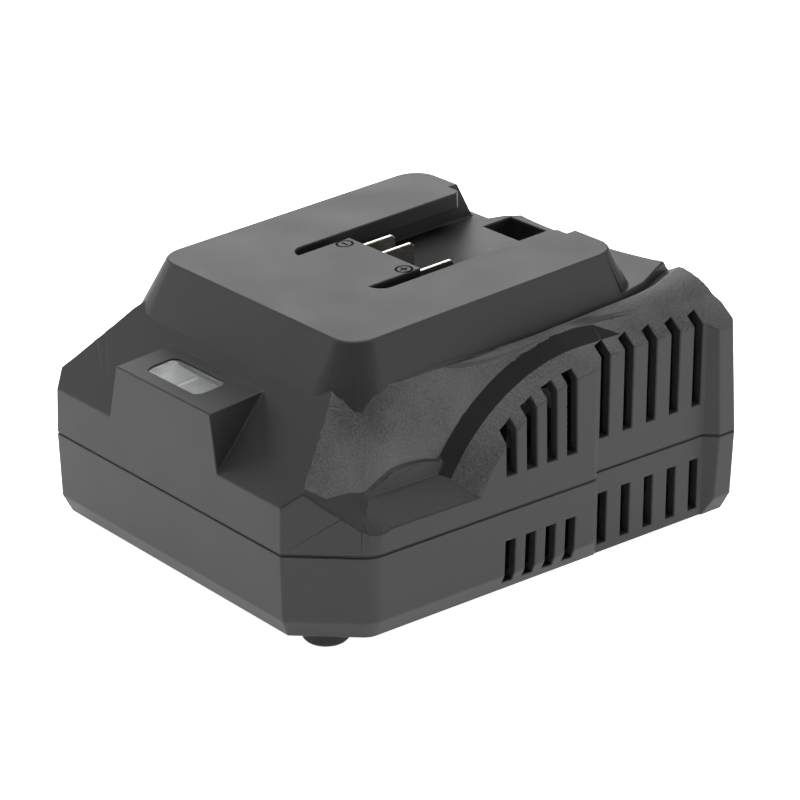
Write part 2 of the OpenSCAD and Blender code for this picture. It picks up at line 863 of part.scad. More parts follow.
// Pillar from z0 to z1.
module pillar(d, z0, z1) {
  translate([0, 0, z0]) cylinder(h = z1 - z0, d = d);
}

// Slots in the rear wall of the tongue for the blades.
module blade_slots() {
  on_dock() for (x = [blade_neg_x, blade_sig_x, blade_pos_x])
    translate([x - blade_t / 2 - fit, tongue_end - 2 * tongue_wall, blade_low - fit])
      cube([blade_t + 2 * fit, 3 * tongue_wall, -blade_drop + slip - blade_low + fit]);
}

// Contact blade at a sideways place: flat bar behind the tongue with a tail inside.
module blade(x) {
  end = tongue_end + blade_l;
  lead = 0.8;
  inner = tongue_end - 2 * tongue_wall + fit;
  on_dock() translate([x - blade_t / 2, 0, 0]) rotate([90, 0, 90]) linear_extrude(blade_t)
    polygon([
      [blade_from, blade_low], [tail_y, blade_low], [tail_y, tail_low],
      [tail_y + tail_w, tail_low], [tail_y + tail_w, blade_low],
      [end - lead, blade_low], [end, blade_low + lead], [end, -blade_drop - lead],
      [end - lead, -blade_drop], [inner, -blade_drop], [inner, -wall - slip],
      [blade_from, -wall - slip]
    ]);
}

module upper_case() {
  color("dimgray") place() difference() {
    union() {
      difference() {
        union() {
          hood_body(0, 1);
          dock_body();
        }
        difference() {
          union() {
            hood_body(wall, 4.75);
            dock_hollow();
          }
          pocket(wall);
        }
        pocket(0);
        both_sides() upper_slots();
      }
      both_sides() {
        translate([screw_x, screw_y, 0]) pillar(boss_d, boss_top, front_boss_z);
        translate([screw_x, case_l - screw_rear, 0]) pillar(boss_d, boss_top, rear_boss_z);
      }
      for (x = [-led_post_x, led_post_x])
        translate([window_x + x, window_y, 0]) pillar(3, led_z + board_t, lamp(0) - wall / 2);
    }
    at_screws() pillar(screw_d + 2 * fit, 0, thread_top + cut);
    translate([0, 0, -cut]) linear_extrude(lip_h + slip + cut) difference() {
      plan2d(wall - lip_t - slip);
      plan2d(wall + cut);
    }
    linear_extrude(3 * far) window2d(slip);
    blade_slots();
  }
}

module lower_case() {
  color("dimgray") place() difference() {
    union() {
      difference() {
        stack([
          [-lower_h, bevel_in, bevel_in, 0],
          [-lower_h + bevel_h, draft_in, draft_in, 0],
          [0, 0, 0, 0]
        ]);
        stack([
          [floor_z, bevel_in + wall, bevel_in + wall, wall],
          [-lower_h + bevel_h, draft_in + wall, draft_in + wall, wall],
          [cut, wall, wall, wall]
        ]);
        translate([0, 0, -seam]) linear_extrude(cut) difference() {
          translate([-case_w, -case_w]) square([2 * case_w, case_w + 2 * case_l]);
          plan2d(seam);
        }
      }
      translate([0, 0, -lip_h]) linear_extrude(2 * lip_h) difference() {
        plan2d(wall - lip_t);
        plan2d(wall);
      }
      at_screws() {
        pillar(boss_d, floor_z - wall / 2, boss_top - slip);
        pillar(sink_d, floor_z - wall / 2, counter_z + wall);
      }
      at_pegs() pillar(peg_d, floor_z - wall / 2, board_z);
    }
    at_screws() {
      pillar(counter_d, -lower_h - cut, counter_z);
      pillar(screw_d + 0.4, counter_z - cut, boss_top + cut);
    }
    at_pegs() pillar(pin_screw_d + 2 * fit, top_z - pin_screw_l - board_t - slip, board_z + cut);
    at_feet() {
      pillar(foot_d + 2 * slip, -lower_h - cut, -lower_h + foot_seat);
      pillar(stem_d + 2 * fit, -lower_h - cut, floor_z + cut);
    }
    translate([inlet_x - inlet_w / 2 - slip, case_l - far, inlet_z - inlet_h / 2 - slip])
      cube([inlet_w + 2 * slip, 2 * far, inlet_h + 2 * slip]);
    both_sides() lower_slots();
  }
}

module rubber_feet() {
  z1 = -lower_h + foot_seat;
  z0 = -lower_h - foot_h;
  color("black") place() at_feet() translate([0, 0, z0]) rotate_extrude()
    polygon([
      [0, 0], [foot_d / 2 - 0.8, 0], [foot_d / 2, 0.8], [foot_d / 2, z1 - z0],
      [stem_d / 2, z1 - z0], [stem_d / 2, floor_z - z0 + slip],
      [stem_bulb / 2, floor_z - z0 + slip], [stem_d / 2, floor_z - z0 + 1.4],
      [0, floor_z - z0 + 1.4]
    ]);
}

module case_screws() {
  color("silver") place() at_screws() difference() {
    union() {
      pillar(head_d, counter_z - head_h, counter_z);
      pillar(screw_d, counter_z, thread_top);
    }
    translate([0, 0, counter_z - head_h - cut]) cylinder(h = cut + head_h / 2, d = head_d / 2, $fn = 6);
  }
}

module led_window() {
  color("lightcyan") place() {
    intersection() {
      linear_extrude(3 * far) window2d(0);
      lamp_layer(0.3, flange_drop);
    }
    intersection() {
      linear_extrude(3 * far) window2d(window_flange);
      lamp_layer(wall + slip, flange_drop);
    }
  }
}

// Light box under the window: two chambers, one for each lamp.
module led_baffle() {
  color("white") place() intersection() {
    translate([0, 0, led_z + board_t]) linear_extrude(far) difference() {
      window2d(window_flange - 0.2);
      for (x = [-led_x, led_x]) translate([window_x + x, window_y])
        square([2 * led_x - 1.2, window_l - 0.8], center = true);
    }
    lamp_layer(flange_drop + fit, far);
  }
}

module led_board() {
  color("green") place() translate([window_x - led_half, led_y, led_z])
    cube([2 * led_half, led_l, board_t]);
}

// Three wires from the indicator board to the main board.
module led_leads() {
  color("gray") place() for (x = [-2, 0, 2])
    translate([window_x + x, board_y + 2, 0]) pillar(1, top_z, led_z);
}

// Domed lamp standing on the indicator board.
module led(x, tint) {
  color(tint) place() translate([window_x + x, window_y, led_z + board_t]) rotate_extrude() {
    square([1.9, 0.8]);
    square([1.5, 2]);
    intersection() {
      translate([0, 2]) circle(r = 1.5);
      square([1.5, 4]);
    }
  }
}

module red_led() {
  led(-led_x, "red");
}

module green_led() {
  led(led_x, "limegreen");
}

module blade_negative() {
  color("gold") place() blade(blade_neg_x);
}

module blade_signal() {
  color("gold") place() blade(blade_sig_x);
}

module blade_positive() {
  color("gold") place() blade(blade_pos_x);
}

// Block inside the tongue that carries the blades.
module terminal_block() {
  w = tongue_w / 2 - tongue_wall - slip;
  color("black") place() on_dock() difference() {
    translate([-w, block_from, block_low]) cube([2 * w, block_to - block_from, -wall - slip - block_low]);
    for (x = [blade_neg_x, blade_sig_x, blade_pos_x]) {
      translate([x - blade_t / 2 - fit, blade_from - fit, blade_low - fit])
        cube([blade_t + 2 * fit, 3 * tail_w + blade_l, dock_rise]);
      translate([x - blade_t / 2 - fit, tail_y - fit, block_low - cut])
        cube([blade_t + 2 * fit, tail_w + 2 * fit, dock_depth]);
    }
  }
}

// Three wires from the blade tails down to the main board.
module terminal_leads() {
  y = dock_y + (tail_y + tail_w / 2) * cos(dock_tilt) - tail_low * sin(dock_tilt);
  z = dock_z + (tail_y + tail_w / 2) * sin(dock_tilt) + tail_low * cos(dock_tilt);
  color("firebrick") place() for (x = [blade_neg_x, blade_sig_x, blade_pos_x])
    translate([x, y, 0]) pillar(lead_d, top_z, z - 3 * slip);
}

module main_board() {
  color("darkgreen") place() difference() {
    translate([-board_w / 2, board_y, board_z]) cube([board_w, board_l, board_t]);
    at_pegs() pillar(pin_screw_d + 0.4, board_z - cut, top_z + cut);
  }
}

module board_screws() {
  color("silver") place() at_pegs() difference() {
    union() {
      pillar(5.4, top_z, top_z + 1.8);
      pillar(pin_screw_d, top_z - pin_screw_l, top_z);
    }
    translate([0, 0, top_z + 0.8]) cylinder(h = 2, d = 2.6, $fn = 6);
  }
}

// Two-pole inlet with a rounded socket.
module mains_inlet() {
  flange_y = case_l - wall - bevel_in / 3 - 2;
  color("black") place() translate([inlet_x, 0, inlet_z]) difference() {
    union() {
      translate([-inlet_w / 2, inlet_end - inlet_d, -inlet_h / 2]) cube([inlet_w, inlet_d, inlet_h]);
      translate([-inlet_w / 2 - 1.5, flange_y, -inlet_h / 2 - 1.2])
        cube([inlet_w + 3, 1.4, inlet_h + 2.4]);
    }
    translate([0, inlet_end - inlet_cavity, 0]) rotate([-90, 0, 0]) linear_extrude(inlet_d)
      rounded2d(pin_gap + inlet_h - 3, inlet_h - 3, (inlet_h - 3) / 2 - fit);
    for (x = [-pin_gap / 2, pin_gap / 2])
      translate([x, case_l - far, 0]) rotate([-90, 0, 0]) cylinder(h = far, d = pin_d + 2 * fit);
  }
}

module inlet_pins() {
  l = inlet_d + 1.5;
  color("silver") place() for (x = [-pin_gap / 2, pin_gap / 2])
    translate([inlet_x + x, inlet_end - inlet_d - 3, inlet_z]) rotate([-90, 0, 0]) {
      cylinder(h = l - pin_d / 2, d = pin_d);
      translate([0, 0, l - pin_d / 2]) sphere(d = pin_d);
    }
}

// Two wires from the inlet to the main board.
module mains_leads() {
  y1 = inlet_end - inlet_d - 3 - slip;
  y0 = board_end - 2;
  color("saddlebrown") place() for (x = [-pin_gap / 2, pin_gap / 2]) translate([inlet_x + x, 0, 0]) {
    translate([0, y0, inlet_z]) rotate([-90, 0, 0]) cylinder(h = y1 - y0, d = lead_d);
    translate([0, y0, inlet_z]) sphere(d = lead_d);
    translate([0, y0, 0]) pillar(lead_d, top_z, inlet_z);
  }
}

module fuse() {
  l = 20;
  r = 2.6;
  color("whitesmoke") place() translate([-19 - l / 2, board_end - 6, top_z + r + 1]) rotate([0, 90, 0]) {
    cylinder(h = l, r = r - 0.3);
    cylinder(h = 5, r = r);
    translate([0, 0, l - 5]) cylinder(h = 5, r = r);
    for (z = [1, l - 3]) translate([0, -1, z]) cube([r + 1, 2, 2]);
  }
}

module line_capacitor() {
  color("gold") place() translate([1 - 9, board_end - 9, top_z]) cube([18, 8, 14]);
}

// Ring choke standing on its edge.
module choke_core() {
  color("darkolivegreen") place() choke_at()
    difference() {
      cylinder(h = choke_t, d = choke_d, center = true);
      cylinder(h = 2 * choke_t, d = choke_d / 2, center = true);
    }
}

// Places a form at the middle of the choke, its axis along the case.
module choke_at() {
  translate([22, board_end - 6.5, top_z + choke_d / 2 + 1.6]) rotate([90, 0, 0]) children();
}

// Two windings around the choke ring.
module choke_winding() {
  coil = 1.4;
  color("peru") place() choke_at() intersection() {
    difference() {
      cylinder(h = choke_t + 2 * coil, d = choke_d + 2 * coil, center = true);
      cylinder(h = 2 * choke_t, d = choke_d / 2 - 2 * coil, center = true);
      difference() {
        cylinder(h = choke_t + 2 * fit, d = choke_d + 2 * fit, center = true);
        cylinder(h = 2 * choke_t, d = choke_d / 2 - 2 * fit, center = true);
      }
    }
    union() {
      translate([2.5, -choke_d, -choke_t]) cube([choke_d, 2 * choke_d, 2 * choke_t]);
      translate([-2.5 - choke_d, -choke_d, -choke_t]) cube([choke_d, 2 * choke_d, 2 * choke_t]);
    }
  }
}

module bridge_rectifier() {
  color("black") place() {
    translate([-35, board_end - 18, top_z + 3]) cube([14, 3.5, 10]);
    for (i = [0:3]) translate([-34.3 + i * 3.9, board_end - 16.6, top_z]) cube([0.8, 0.7, 3]);
  }
}

// Can with a rounded crown, standing on the board.
module can(d, h) {
  rotate_extrude() {
    square([d / 2, h - 1]);
    square([d / 2 - 1, h]);
    translate([d / 2 - 1, h - 1]) circle(r = 1);
  }
}

module bulk_capacitor() {
  color("midnightblue") place() translate([-23, board_end - 29, top_z]) can(bulk_d, bulk_h);
}

// Flat double-E core around the middle leg.
module transformer_core() {
  window_x0 = core_leg;
  window_x1 = core_l / 2 - core_side;
  color("dimgray") place() translate([core_x, core_y, core_mid]) difference() {
    cube([core_l, core_w, core_t], center = true);
    both_sides() translate([window_x0, core_leg - core_w / 2, -core_t])
      cube([window_x1 - window_x0, core_w - 2 * core_leg, 2 * core_t]);
  }
}

module transformer_bobbin() {
  l = core_w - 2 * core_leg - 2 * slip;
  x1 = core_l / 2 - core_side - slip;
  x0 = core_leg + slip;
  z0 = core_t / 2 + slip;
  z1 = core_foot + core_t / 2;
  color("linen") place() translate([core_x, core_y, core_mid]) difference() {
    union() {
      cube([2 * x0 + 2 * bobbin_t, l, 2 * z0 + 2 * bobbin_t], center = true);
      for (y = [-l / 2, l / 2 - bobbin_t])
        translate([-x1, y, -z1]) cube([2 * x1, bobbin_t, 2 * z1]);
    }
    cube([2 * x0, 2 * l, 2 * z0], center = true);
  }
}

module transformer_winding() {
  l = core_w - 2 * core_leg - 2 * slip - 2 * bobbin_t - 2 * fit;
  x1 = core_l / 2 - core_side - 0.6;
  x0 = core_leg + slip + bobbin_t + fit;
  z0 = core_t / 2 + slip + bobbin_t + fit;
  z1 = core_foot + core_t / 2 - 1;
  color("goldenrod") place() translate([core_x, core_y, core_mid]) rotate([90, 0, 0])
    translate([0, 0, -l / 2]) linear_extrude(l) difference() {
      rounded2d(2 * x1, 2 * z1, 3);
      square([2 * x0, 2 * z0], center = true);
    }
}

// Comb of fins on a plate that carries the power devices.
module heatsink() {
  pitch = (sink_l - fin_t) / (sink_fins - 1);
  color("silver") place() translate([sink_x, sink_y, top_z]) {
    cube([sink_t, sink_l, sink_h]);
    for (i = [0:sink_fins - 1]) translate([-fin_l, i * pitch, 0]) cube([fin_l + cut, fin_t, sink_h]);
  }
}

// Tabbed power device screwed flat against the heatsink plate.
module device(y) {
  translate([sink_x + sink_t, y, top_z + 4]) {
    cube([1.3, device_w, 15]);
    cube([4.4, device_w, 9]);
    for (i = [0:2]) translate([2.2, 1.9 + 2.5 * i, -4]) cube([0.6, 0.9, 4.5]);
  }
}

module switching_transistor() {
  color("black") place() device(sink_y + 4);
}

module output_diode() {
  color("black") place() device(sink_y + 18);
}

module output_capacitors() {
  color("navy") place() for (x = [-2, 10])
    translate([x, tongue_y + 6.2, top_z]) can(out_cap_d, out_cap_h);
}

// Flat chip with a row of legs along both sides.
module chip(w, l) {
  legs = floor(l / 1.3);
  translate([-w / 2, -l / 2, 0.2]) cube([w, l, 1.6]);
  for (i = [0:legs - 1]) translate([-w / 2 - 1, -l / 2 + 0.4 + i * 1.27, 0]) cube([w + 2, 0.4, 0.6]);
}

module controller_chips() {
  color("black") place() {
    translate([-22, board_y + 30, top_z]) chip(7, 12);
    translate([-20, board_y + 16, top_z]) chip(4, 5);
    translate([-28, board_y + 16, top_z]) chip(4, 5);
  }
}

upper_case();
lower_case();
rubber_feet();
case_screws();
led_window();
led_baffle();
led_board();
led_leads();
red_led();
green_led();
blade_negative();
blade_signal();
blade_positive();
terminal_block();
terminal_leads();
main_board();
board_screws();
mains_inlet();
inlet_pins();
mains_leads();
fuse();
line_capacitor();
choke_core();
choke_winding();
bridge_rectifier();
bulk_capacitor();
transformer_core();
transformer_bobbin();
transformer_winding();
heatsink();
switching_transistor();
output_diode();
output_capacitors();
controller_chips();
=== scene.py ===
import itertools
import math

import bmesh
import bpy
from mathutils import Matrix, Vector
from mathutils.bvhtree import BVHTree


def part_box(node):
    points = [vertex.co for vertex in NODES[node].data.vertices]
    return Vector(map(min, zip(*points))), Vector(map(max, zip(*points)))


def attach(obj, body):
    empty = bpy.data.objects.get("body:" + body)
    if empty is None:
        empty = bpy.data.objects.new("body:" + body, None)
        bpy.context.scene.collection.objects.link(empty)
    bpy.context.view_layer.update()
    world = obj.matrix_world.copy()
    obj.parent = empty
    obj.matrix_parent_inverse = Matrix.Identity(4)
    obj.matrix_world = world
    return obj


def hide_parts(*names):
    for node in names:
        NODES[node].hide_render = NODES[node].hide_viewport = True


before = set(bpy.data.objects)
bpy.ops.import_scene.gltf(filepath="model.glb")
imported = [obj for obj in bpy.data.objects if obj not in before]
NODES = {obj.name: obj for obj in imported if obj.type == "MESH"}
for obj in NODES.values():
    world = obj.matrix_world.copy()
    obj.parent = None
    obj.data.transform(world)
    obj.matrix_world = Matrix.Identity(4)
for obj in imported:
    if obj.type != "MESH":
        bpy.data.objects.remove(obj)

bl_info = {
    "name": "Battery Charger Dresser",
    "version": (1, 0, 0),
    "blender": (4, 5, 0),
    "location": "View3D > Sidebar > Charger",
    "description": "Dresses the packed battery charger with moulded, plated and wound surfaces",
    "category": "Object",
}

BODY = "root"
MM = 0.001

# The case in the row frame: half its length, the height of the parting line and the dock's tilt.
CASE_HALF = 63.5 * MM
PARTING_Z = 24.2 * MM
DOCK_TILT = math.radians(3.32)
# Half of the shadow gap between the two shells, and how near the parting line counts as on it.
SEAM = 0.15 * MM
ON_SEAM = 0.02 * MM

# Vertices closer than this are one; faces that turn less than this are one flat area.
WELD = 0.15 * MM
FLAT = math.radians(0.6)
# Edges that turn more than this are sharp.
SHARP = math.radians(13)
# Edges that turn more than this get a moulded radius, unless a face beside them is narrower or the
# edge itself is shorter than these.
ROUNDED = math.radians(20)
NARROW = 0.5 * MM
SHORT = 0.4 * MM
# The ways out of the case that are tried from an edge, how far from the edge they start, and the
# least cosine between a way and the edge's normal.
WAYS = [Vector(way).normalized() for way in itertools.product((-1, 0, 1), repeat=3) if any(way)]
LIFT = 0.3 * MM
FACING = 0.1

# The fender arch in case millimetres: where its centre lies along the case and in height.
ARCH_Y = 80
ARCH_Z = -12.9
# Two edges of the fender: distance from the arch centre, and from the middle of the case.
CROWN = (43.8, 51.4)
RIM = (47.5, 48.6)
# The step that is drawn onto the rim: where it starts along the case, its reach across, its lowest
# height and its distances from the arch centre, in millimetres.
STEP_START = 40.5
STEP_ACROSS = (48.1, 49.6)
STEP_LOW = 13.5
STEP_RADII = (RIM[0] - 1.2, RIM[0] + 0.4)
# Points that define the rim line are this far apart, as an angle round the arch centre.
RIM_STEP = math.radians(1.5)

# Seeds, in case millimetres, of the surfaces that carry grain, and how far a surface may bend.
GRAINED = [(50, 60, 31), (46, 25, 24), (47, 100, 33), (57, 40, 6)]
GRAIN_BEND = math.radians(9)
# The walls of the dock: their slopes and how far from the middle they end, in millimetres.
DOCK_SLOPES = (0.38, 0.52)
DOCK_FOOT = 43
# The band between crown and rim: its slopes and the slack at its edges, in millimetres.
BAND_SLOPES = (0.74, 0.86)
BAND_SLACK = 0.4
# The crescent wall: how upright it stands, and its places across and in height, in millimetres.
CRESCENT_UPRIGHT = 0.98
CRESCENT_ACROSS = (49, 49.7)
CRESCENT_HEIGHT = (9.5, 15)

# The polarity marks on the tongue, in row millimetres: the place of the one on the right, a height
# below them, the radius of the ring, half the length of a bar and half the width of a line.
MARK_X = 11
MARK_Y = -2
MARK_Z = 64
MARK_R = 1.9
MARK_BAR = MARK_R * 0.6
MARK_LINE = 0.3

# Spacing of patterns in millimetres: the colour variation of a moulding, the flow pattern of a
# clear moulding, the glass weave of a circuit board and the fibre clouds of the paper.
BLOTCH = 14
FLOW = 2.5
WEAVE = 0.5
CLOUD = 50

MATH = "ShaderNodeMath"


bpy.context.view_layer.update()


# ---------------------------------------------------------------- colours and node helper


def linear(code):
    """An sRGB hex code as linear RGBA."""
    values = [int(code[i:i + 2], 16) / 255 for i in (0, 2, 4)]
    return [v / 12.92 if v <= 0.04045 else ((v + 0.055) / 1.055) ** 2.4 for v in values] + [1.0]


def add(tree, kind, links=None, **settings):
    """Adds a node and sets its properties, then its sockets.

    A socket takes a value, or a link from a pair (node, output) or from a node's first output.
    """
    made = tree.nodes.new(kind)
    for name, value in settings.items():
        setattr(made, name, value)
    for name, value in (links or {}).items():
        socket = made.inputs[name]
        if isinstance(value, bpy.types.Node):
            value = (value, 0)
        if isinstance(value, tuple) and isinstance(value[0], bpy.types.Node):
            tree.links.new(value[0].outputs[value[1]], socket)
        else:
            socket.default_value = value
    return made


def new_material(name):
    """An empty node material, with its tree and its object coordinates in millimetres."""
    made = bpy.data.materials.new(name)
    made.use_nodes = True
    tree = made.node_tree
    tree.nodes.clear()
    place = add(tree, "ShaderNodeTexCoord")
    scaled = add(tree, "ShaderNodeMapping", {"Vector": (place, "Object"), "Scale": (1000, 1000, 1000)})
    return made, tree, (scaled, "Vector")


def two_tone(tree, factor, dark, light, start=0.3):
    """A colour that goes from one hex tone to the other while the factor goes from start to 1 - start."""
    made = add(tree, "ShaderNodeValToRGB", {"Fac": factor})
    for element, position, code in zip(made.color_ramp.elements, (start, 1 - start), (dark, light)):
        element.position = position
        element.color = linear(code)
    return made


# ---------------------------------------------------------------- finishes


def polarity_shade_mask(tree, mm, plus_side):
    """1 on the lines of the two polarity marks, where a groove's shade is painted: a ring round a minus and a
    ring round a plus.
    """
    axis = add(tree, "ShaderNodeSeparateXYZ", {"Vector": mm})
    along = (axis, "Y")
    side = add(tree, MATH, {0: (axis, "X"), 1: plus_side}, operation="MULTIPLY")
    across = add(tree, MATH, {0: side}, operation="ABSOLUTE")
    flat = add(tree, "ShaderNodeCombineXYZ", {"X": across, "Y": along})
    reach = add(tree, "ShaderNodeVectorMath", {0: flat, 1: (MARK_X, MARK_Y, 0)}, operation="DISTANCE")
    ring = add(tree, MATH, {0: (reach, "Value"), 1: MARK_R, 2: MARK_LINE}, operation="COMPARE")
    bars = []
    for thin, middle, long, centre in ((along, MARK_Y, across, MARK_X), (across, MARK_X, along, MARK_Y)):
        width = add(tree, MATH, {0: thin, 1: middle, 2: MARK_LINE}, operation="COMPARE")
        length = add(tree, MATH, {0: long, 1: centre, 2: MARK_BAR}, operation="COMPARE")
        bars.append(add(tree, MATH, {0: width, 1: length}, operation="MULTIPLY"))
    level, upright = bars
    on_plus = add(tree, MATH, {0: side, 1: 0.0}, operation="GREATER_THAN")
    upright = add(tree, MATH, {0: upright, 1: on_plus}, operation="MULTIPLY")
    sign = add(tree, MATH, {0: level, 1: upright}, operation="MAXIMUM")
    mask = add(tree, MATH, {0: ring, 1: sign}, operation="MAXIMUM")
    on_tongue = add(tree, MATH, {0: (axis, "Z"), 1: MARK_Z}, operation="GREATER_THAN")
    return add(tree, MATH, {0: mask, 1: on_tongue}, operation="MULTIPLY")


def moulded(name, dark, light, rough, grain_mm, depth_mm, specular=0.5, coarse=0.0, plus_side=0):
    """Moulded plastic with faint colour variation and a grain of that spacing and depth.

    A real tool's texture is mostly finer; the grain is drawn as coarse as it needs to show.
    coarse adds cells of that size in millimetres; plus_side, 1 or -1, adds the polarity marks in painted
    shade.
    """
    made, tree, mm = new_material(name)
    grain = add(tree, "ShaderNodeTexNoise", {
        "Vector": mm, "Scale": 1 / grain_mm, "Detail": 3.0, "Roughness": 0.6})
    blotch = add(tree, "ShaderNodeTexNoise", {"Vector": mm, "Scale": 1 / BLOTCH, "Detail": 2.0})
    both = add(tree, MATH, {0: (grain, "Fac"), 1: (blotch, "Fac")}, operation="ADD")
    mean = add(tree, MATH, {0: both, 1: 0.5}, operation="MULTIPLY")
    colour = two_tone(tree, mean, dark, light, 0.38)
    gloss = add(tree, "ShaderNodeMapRange", {
        "Value": mean, "From Min": 0.35, "From Max": 0.65,
        "To Min": rough - 0.05, "To Max": rough + 0.05})
    height = (grain, "Fac")
    if coarse:
        cells = add(tree, "ShaderNodeTexVoronoi", {"Vector": mm, "Scale": 1 / coarse})
        height = add(tree, MATH, {0: height, 1: (cells, "Distance")}, operation="ADD")
    bump = add(tree, "ShaderNodeBump", {"Height": height, "Distance": depth_mm * MM, "Strength": 1.0})
    shader = add(tree, "ShaderNodeBsdfPrincipled", {
        "Base Color": (colour, "Color"), "Roughness": (gloss, "Result"), "Normal": (bump, "Normal"),
        "Specular IOR Level": specular, "IOR": 1.5})
    if plus_side:
        # Painted shade: a dark, dull colour on the mark lines stands for the shade inside a narrow groove,
        # where little light comes in.
        painted_groove_shade = add(tree, "ShaderNodeBsdfPrincipled", {
            "Base Color": linear("0c0c0c"), "Roughness": 0.9, "Specular IOR Level": 0.05, "IOR": 1.5})
        shader = add(tree, "ShaderNodeMixShader", {
            0: polarity_shade_mask(tree, mm, plus_side), 1: shader, 2: painted_groove_shade})
    add(tree, "ShaderNodeOutputMaterial", {"Surface": shader})
    return made


def metal(name, dark, light, rough, grain_mm, stretch=(1, 1, 1)):
    """Plated or drawn metal, with fine streaks along the axis whose scale is small.

    The real streaks are finer; they are drawn as coarse as they need to show.
    """
    made, tree, mm = new_material(name)
    along = add(tree, "ShaderNodeMapping", {"Vector": mm, "Scale": stretch})
    grain = add(tree, "ShaderNodeTexNoise", {"Vector": along, "Scale": 1 / grain_mm, "Detail": 4.0})
    colour = two_tone(tree, (grain, "Fac"), dark, light)
    gloss = add(tree, "ShaderNodeMapRange", {
        "Value": (grain, "Fac"), "To Min": rough - 0.06, "To Max": rough + 0.08})
    bump = add(tree, "ShaderNodeBump", {"Height": (grain, "Fac"), "Distance": 0.004 * MM, "Strength": 0.6})
    shader = add(tree, "ShaderNodeBsdfPrincipled", {
        "Base Color": (colour, "Color"), "Roughness": (gloss, "Result"), "Normal": (bump, "Normal"),
        "Metallic": 1.0})
    add(tree, "ShaderNodeOutputMaterial", {"Surface": shader})
    return made


# ---------------------------------------------------------------- mesh helpers


def link(name, mesh, *finishes):
    """A new object in the scene with this mesh and these materials."""
    made = bpy.data.objects.new(name, mesh)
    bpy.context.scene.collection.objects.link(made)
    for finish in finishes:
        mesh.materials.append(finish)
    return made


def merged_copy(node, tidy=None):
    """A copy of a CAD node's loose triangles as one merged mesh, with the edges to round weighted."""
    bm = bmesh.new()
    bm.from_mesh(NODES[node].data)
    if tidy:
        for vert in bm.verts:
            vert.co = tidy(vert.co)
    bmesh.ops.remove_doubles(bm, verts=bm.verts, dist=WELD)
    bmesh.ops.dissolve_degenerate(bm, edges=bm.edges, dist=WELD)
    bmesh.ops.dissolve_limit(bm, angle_limit=FLAT, verts=bm.verts, edges=bm.edges)
    for face in bm.faces:
        face.smooth = True
    weight = bm.edges.layers.float.new("bevel_weight_edge")
    solid = BVHTree.FromBMesh(bm)
    for edge in bm.edges:
        turn = edge.calc_face_angle(0)
        edge.smooth = turn < SHARP
        seam = all(abs(vert.co.z - PARTING_Z) < 2 * SEAM for vert in edge.verts)
        room = turn > ROUNDED and min(map(breadth, edge.link_faces)) > NARROW and edge.calc_length() > SHORT
        edge[weight] = float(room and not seam and open_to_view(edge, solid))
    return bm


def open_to_view(edge, solid):
    """Whether a straight line leads out from the edge, not counting lines towards the parting plane."""
    out = sum((face.normal for face in edge.link_faces), Vector()).normalized()
    start = (edge.verts[0].co + edge.verts[1].co) / 2 + out * LIFT
    return any(way.dot(out) > FACING and way.z * (start.z - PARTING_Z) >= 0
               and not solid.ray_cast(start, way)[0] for way in WAYS)


def breadth(face):
    """Width of a face measured across its longest edge."""
    return 2 * face.calc_area() / max(edge.calc_length() for edge in face.edges)


def grow(bm, seed, limit):
    """Faces reached from the one nearest to the seed point over edges flatter than the limit."""
    first = min(bm.faces, key=lambda f: (f.calc_center_median() - Vector(seed)).length)
    found, front = {first}, [first]
    while front:
        face = front.pop()
        for edge in face.edges:
            for other in edge.link_faces:
                if other not in found and face.normal.angle(other.normal, 9) < limit:
                    found.add(other)
                    front.append(other)
    return found


def case_point(x, y, z):
    """A point given in the case's own millimetres: y from the front face, z from the parting line."""
    return Vector((x * MM, y * MM - CASE_HALF, z * MM + PARTING_Z))


def case_place(point):
    """A point's place in the case's own millimetres."""
    return point.x / MM, (point.y + CASE_HALF) / MM, (point.z - PARTING_Z) / MM


def within(value, limits):
    """Whether a value lies between two limits."""
    return limits[0] < value < limits[1]


def arch_radius(point):
    """Distance of a point from the arch centre, in millimetres; behind it the arch runs on straight."""
    x, y, z = case_place(point)
    y -= ARCH_Y
    z -= ARCH_Z
    return math.hypot(y, z) if y < 0 else z + y * math.tan(DOCK_TILT)


def crisp_rim(point):
    """Draws the narrow step between shoulder and fender onto the rim, so that they meet in one edge."""
    x, y, z = case_place(point)
    if not (STEP_START < y < ARCH_Y and z > STEP_LOW and within(abs(x), STEP_ACROSS)
            and within(arch_radius(point), STEP_RADII)):
        return point
    angle = round(math.atan2(z - ARCH_Z, ARCH_Y - y) / RIM_STEP) * RIM_STEP
    radius, across = RIM
    return case_point(
        math.copysign(across, x), ARCH_Y - radius * math.cos(angle), ARCH_Z + radius * math.sin(angle))


def upper_tidy(point):
    """Opens the upper half of the shadow gap and draws the fender rim to one line."""
    if abs(point.z - PARTING_Z) < ON_SEAM:
        return point + Vector((0, 0, SEAM))
    return crisp_rim(point)


def lower_tidy(point):
    """Opens the lower half of the shadow gap."""
    return point - Vector((0, 0, SEAM)) if abs(point.z - PARTING_Z) < ON_SEAM else point


def round_edges(piece, width_mm):
    """Small moulded radius on every weighted edge, with the flat faces kept flat in shading."""
    made = piece.modifiers.new("Edge radius", "BEVEL")
    made.width = width_mm * MM
    made.segments = 2
    made.limit_method = "WEIGHT"
    made.use_clamp_overlap = False
    made.loop_slide = False
    shade = piece.modifiers.new("Face weighted shading", "WEIGHTED_NORMAL")
    shade.keep_sharp = True
    shade.weight = 100


def dress(name, node, slot, width_mm, *finishes, bm=None):
    """A softened copy of a CAD node that stands for it, with a small radius on its edges."""
    bm = bm or merged_copy(node)
    mesh = bpy.data.meshes.new(name)
    bm.to_mesh(mesh)
    bm.free()
    made = link(name, mesh, *finishes)
    round_edges(made, width_mm)
    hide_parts(node)
    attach(made, BODY)


def paint(finish, *nodes):
    """Gives CAD nodes that keep their own mesh a finish."""
    for node in nodes:
        mesh = NODES[node].data
        mesh.materials.clear()
        mesh.materials.append(finish)


